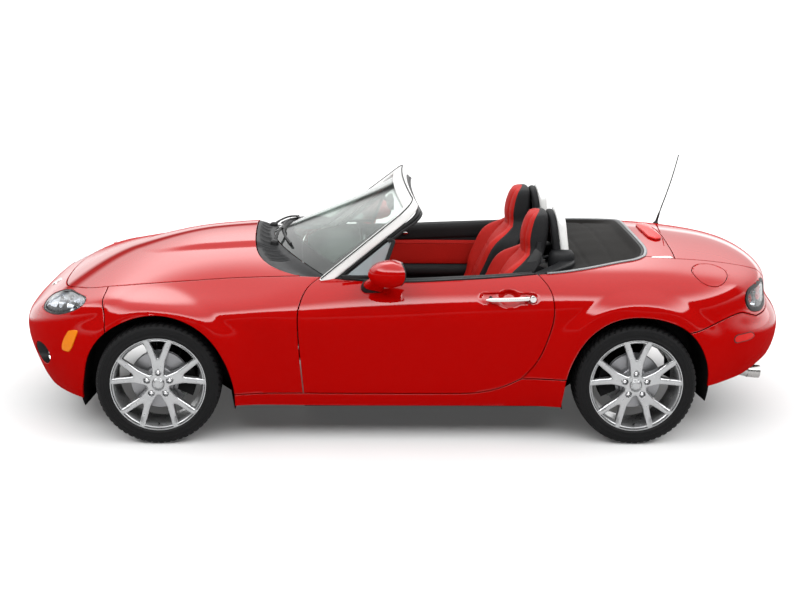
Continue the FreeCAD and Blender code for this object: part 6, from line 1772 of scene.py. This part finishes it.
piece("wheel_pad", *together(pad, *arms), black_plastic, "steering_wheel", "black_plastic")
cover = tube(np.linspace(hub_place - column * .046, hub_place - column * .215, 12), np.linspace(.040, .052, 12), 28)
stalks = together(*[tube(line(tuple(hub_place - column * .075 + (0, s * .02, 0)),
                              tuple(hub_place - column * .072 + (0, s * .09, .008)),
                              tuple(hub_place - column * .060 + (0, s * .150, .020)), steps=14),
                         np.linspace(.006, .0085, 14), 14) for s in (1, -1)])
piece("column_cover", *together(cover, stalks), black_plastic, slot="black_plastic")

console_x = np.linspace(.205, -.610, 110)
console_top = bend_through(np.array([(-.61, .430), (-.55, .462), (-.40, .468), (-.20, .462), (-.13, .472),
                                     (-.02, .492), (.07, .505), (.14, .545), (.205, .585)]), console_x)
half_wide = np.interp(console_x, (-.61, -.3, .1, .2), (.085, .096, .098, .100))
around = np.array([(-1, -.115), (-1.0, -.03), (-.985, -.012), (-.93, -.002), (-.84, .0), (-.80, -.003), (-.76, .0),
                   (-.4, .002), (0, .002), (.4, .002), (.76, .0), (.80, -.003), (.84, 0), (.93, -.002),
                   (.985, -.012), (1.0, -.03), (1, -.115)])
console = np.stack([console_x[:, None] + 0 * around[None, :, 0], half_wide[:, None] * around[None, :, 0],
                    console_top[:, None] + around[None, :, 1]], -1)
console[:, (0, -1), 2] = .345
n = len(around)
console = facing_out(console.reshape(-1, 3), [grid_faces(110, n, closed=True), end_caps(np.arange(n), 109 * n)])
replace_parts(piece("console_moulding", *console, black_plastic, slot="black_plastic"), "centre_console")
gaiter_turn = np.linspace(0, 2 * math.pi, 40, endpoint=False)
gaiter_rows = [(.046, .494), (.043, .500), (.036, .506), (.038, .511), (.029, .518), (.031, .523), (.022, .531),
               (.023, .536), (.014, .546), (.007, .556)]
gaiter = np.vstack([np.stack([.055 - (z - .494) * .2 + r * np.cos(gaiter_turn) * (1.15 if z < .51 else 1),
                              r * np.sin(gaiter_turn), z + 0 * gaiter_turn], 1) for r, z in gaiter_rows])
gaiter = facing_out(gaiter, grid_faces(10, 40, closed=True))
piece("gear_gaiter", *gaiter, black_leather)
rod = tube([(.043, 0, .550), (.036, 0, .585)], .006)
knob_rows = [(.004, .575), (.012, .580), (.019, .590), (.0225, .602), (.0235, .612), (.022, .622), (.017, .629),
             (.009, .632), (.0004, .633)]
knob = np.vstack([np.stack([.046 - (z - .494) * .10 + r * np.cos(gaiter_turn), r * np.sin(gaiter_turn),
                            z + 0 * gaiter_turn], 1) for r, z in knob_rows])
knob = facing_out(knob, grid_faces(9, 40, closed=True))
piece("gear_lever", *together(rod, knob), black_leather)
brake_bar = tube(line((-.16, -.062, .475), (-.10, -.062, .492), (-.02, -.062, .512), (.03, -.062, .522), steps=24),
                 np.interp(np.linspace(0, 1, 24), (0, .4, .5, .95, 1), (.009, .009, .014, .0135, .006)))
piece("hand_brake", *brake_bar, black_leather)
lid_shape = swept([(-.24, 0, .470), (-.56, 0, .466)], (0, 0, 1), corner_round(.028, .165, .012))
piece("console_lid", *lid_shape, black_leather)
cup_rows = [(.042, .462), (.042, .472), (.040, .474), (.037, .472), (.036, .440), (.0004, .440)]
cup_rings = together(*[turned((x, 0, 0), (1, 0, 0), (0, 1, 0), (0, 0, 1), cup_rows, 40) for x in (-.085, -.175)])
piece("cup_holders", *cup_rings, black_seal)

# ---------------------------------------------------------------------------
# Wheel housings. A thin moulded liner follows each wheel opening from just
# inside the paint to the inner wall, and its front end hangs below the bumper.
# ---------------------------------------------------------------------------
underside = mottled("underside_black", {"Specular IOR Level": 0.1}, (0.0030, 0.0030, 0.0032),
                    (0.0080, 0.0080, 0.0082), (22.0, 4.0), (60.0, 3.0, 0.2, 0.70), (260.0, 3.0, 0.3, 0.001))


def liner(axle, first, last):
    """A wheel housing as a closed sheet 3 mm thick: for each angle, a run from the edge of the opening inwards, rounded
    over into a flat wall that ends at a ring round the hub."""
    turn = np.linspace(first, last, 90)
    edge_x, edge_z = arch_place(axle, np.clip(turn, -16, 197))
    edge = across(np.stack([edge_x, 0 * edge_x + .4, edge_z], 1), (0, 1, 0))
    reach = np.hypot(edge[:, 0] - axle, edge[:, 2] - HUB_HEIGHT) + .006
    run = np.array([(0, 0), (.25, .002), (.5, .002), (.75, .002), (.9, -.004), (.97, -.012), (1, -.030),
                    (1.004, -.070), (1.006, -.110), (1.006, -.150)])
    y = (edge[:, 1:2] - .012) * (1 - run[:, 0]) + .440 * run[:, 0]
    r = reach[:, None] + run[:, 1]
    a = np.radians(turn)[:, None]
    inner = np.stack([axle + r * np.cos(a), y, HUB_HEIGHT + r * np.sin(a)], -1)
    outer = np.stack([axle + (r + .003) * np.cos(a), y - .003 * (run[:, 0] > .95),
                      HUB_HEIGHT + (r + .003) * np.sin(a)], -1)
    return closed_run(np.concatenate([inner, outer[:, ::-1]], 1))


liners = together(liner(FRONT_AXLE, -22, 200), liner(REAR_AXLE, -20, 196))
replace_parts(both_hands("wheel_housings", liners, underside, rides="root")[0], "arch_liners")

# ---------------------------------------------------------------------------
# Brake calipers. Cast iron, sliding on pins; the front ones ride on the
# steering knuckles behind the hub line, the rear ones on the rear uprights.
# ---------------------------------------------------------------------------


def caliper_shape(radius, middle):
    """Sliding brake caliper: a closed section swept along an arc over the disc's edge, thicker in the middle, with the
    outer claw's two fingers and the window between them pressed into it."""
    a = np.radians(np.linspace(middle - 30, middle + 30, 49))
    section = np.array([(-.044, .0075), (-.040, .0200), (-.030, .0290), (-.010, .0345), (.004, .0345), (.011, .0300),
                        (.0135, .0200), (.0135, -.020), (.0120, -.040), (.004, -.0475), (-.030, -.0475),
                        (-.044, -.040), (-.044, -.0225), (.0065, -.0225), (.0065, .0105), (-.040, .0105)])
    share = np.linspace(-1, 1, 49)
    swell = np.sqrt(1 - 0.75 * np.abs(share) ** 5)[:, None]
    finger = (np.exp(-((share - .45) / .28) ** 4) + np.exp(-((share + .45) / .28) ** 4))[:, None]
    thick = np.where(section[:, 0] > 0, swell, 1)
    window = np.where(section[:, 0] < -.02, (1 - finger) * .012 * (section[:, 1] > 0), 0)
    r = radius + section[:, 0] * thick + window
    out = section[:, 1] * np.where(section[:, 1] > .015, .82 + .18 * finger, 1) + 0 * r
    points = np.stack([r * np.cos(a)[:, None], out, r * np.sin(a)[:, None]], -1)
    n = len(section)
    return facing_out(points.reshape(-1, 3), [grid_faces(49, n, closed=True), end_caps(np.arange(n), 48 * n)])


for corner, axle, hand, disc_radius in CORNERS:
    middle, body = (180, corner + "_knuckle") if axle == FRONT_AXLE else (0, "root")
    caliper = caliper_shape(disc_radius, middle)
    piece(corner + "_caliper", *at_wheel(caliper, axle, hand), cast_metal, body, smooth=30)

# ---------------------------------------------------------------------------
# Nose. A black duct stands in the mouth with a wire mesh across it, and the
# badge place above it is a plain bright oval.
# ---------------------------------------------------------------------------
piece("mouth_duct", *housing(mouth, .060, floor=.92, grow=1.0), underside)
bars = []
for height in np.linspace(.244, .386, 8):
    reach = .30 if height > .36 else .36
    bars.append(tube(on_end(1, (reach, height), (0, height), (-reach, height), steps=50) - (.045, 0, 0), .0022, 6))
for y in np.linspace(-.34, .34, 29):
    top = .405 - .02 * (abs(y) / .34) ** 2
    bars.append(tube(on_end(1, (y, .234 + .02 * (abs(y) / .34) ** 2), (y, .32), (y, top - .012), steps=16)
                     - (.0465, 0, 0), .0018, 6))
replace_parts(piece("mouth_mesh", *together(*bars), black_plastic, slot="black_plastic"), "grille")
turn = np.linspace(0, 2 * math.pi, 97)
badge_line = np.stack([1.826 + .026 * np.sin(turn), .040 * np.cos(turn), .612 - .018 * np.sin(turn)], 1)
badge_place = onto_skin(badge_line)[:-1]
piece("nose_badge_place", *filled(badge_place, .0035, rings=14, bow=.002), chrome)

# ---------------------------------------------------------------------------
# Tail. A blank strip of bright metal stands on the deck beside the lid, a
# blank board marks the plate's place, and the exhaust ends in two bright pipes.
# ---------------------------------------------------------------------------
strip = onto_skin(line((-1.215, .500, .875), (-1.225, .488, .877), (-1.30, .466, .873), (-1.333, .461, .87),
                       (-1.342, .483, .868), (-1.30, .489, .87), (-1.215, .500, .875), bow=False, steps=120))[:-1]
both_hands("deck_strip", filled(strip, .0018, rings=12), silver_paint, rides="root")
plate = on_end(-1,
               *[(math.copysign(abs(math.cos(a)) ** .18, math.cos(a)) * .165,
                  .500 + math.copysign(abs(math.sin(a)) ** .18, math.sin(a)) * .078)
                 for a in np.linspace(0, 2 * math.pi, 49)], steps=240)[:-1]
piece("plate_place", *filled(plate, .002, rings=14), black_plastic)
pipe = line((-1.660, .483, .297), (-1.72, .487, .290), (-1.76, .489, .282), (-1.812, .490, .276), steps=30)
lip = [(.0334, -.060), (.0334, .001), (.0325, .004), (.0308, .0045), (.0295, .001), (.0290, -.050), (.0004, -.050),
       (.0004, -.060)]
pipe_end = turned(pipe[-1], (0, 1, 0), (-.10, 0, .995), (-.99, 0, -.10), lip)
feed_pipe = tube(pipe[:-11], np.interp(np.linspace(0, 1, 19), (0, .55, .6, 1), (.024, .026, .0325, .0334)), 48)
exhaust_metal = mottled("exhaust_metal", {"Metallic": 1.0}, (0.30, 0.29, 0.28), (0.46, 0.45, 0.44), (50.0, 3.0),
                        (90.0, 3.0, 0.15, 0.18))
both_hands("exhaust_tip", together(feed_pipe, pipe_end), exhaust_metal, smooth=30, rides="root")

# ---------------------------------------------------------------------------
# Aerial. A thin sprung rod screwed into a rubber foot on the right rear wing.
# ---------------------------------------------------------------------------
foot = across(np.array([(-1.464, -.56, .6)]), (0, 0, 1))[0]
rod = line(tuple(foot - (0, 0, .004)), tuple(foot + (-.004, 0, .012)), (-1.484, -.56, foot[2] + .07),
           (-1.530, -.56, 1.060), (-1.574, -.56, 1.240), steps=120)
rod_size = np.interp(rod[:, 2] - foot[2], (-.004, .006, .012, .030, .060, .066, .39, .395, .401),
                     (.017, .015, .0085, .0064, .0054, .0036, .0028, .0036, .0012))
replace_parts(piece("aerial", *tube(rod, rod_size, 20), black_plastic, slot="black_plastic"), "antenna")

# ---------------------------------------------------------------------------
# Underneath and inside the shell. Pressed steel sprayed with undercoat, cast
# engine and axle parts, a woven carpet on the floor, and plain steel pipes.
# ---------------------------------------------------------------------------
carpet = mottled("carpet", {"Specular IOR Level": 0.05}, (0.006, 0.006, 0.0065), (0.018, 0.018, 0.019), (900.0, 2.0),
                 (900.0, 2.0, 0.1, 0.85), (900.0, 2.0, 0.6, 0.002))
UNDERNEATH = ((carpet, "boot_tub floor_pan rear_bulkhead firewall"), (cast_metal, "engine_block"),
              (underside, "front_left_knuckle front_right_knuckle front_frame front_suspension rear_suspension"),
              (underside, "gearbox_and_shaft radiator"), (exhaust_metal, "exhaust"))
for made, names in UNDERNEATH:
    for name in names.split():
        for place in bpy.data.objects[name].material_slots:
            place.link = "OBJECT"
            place.material = made
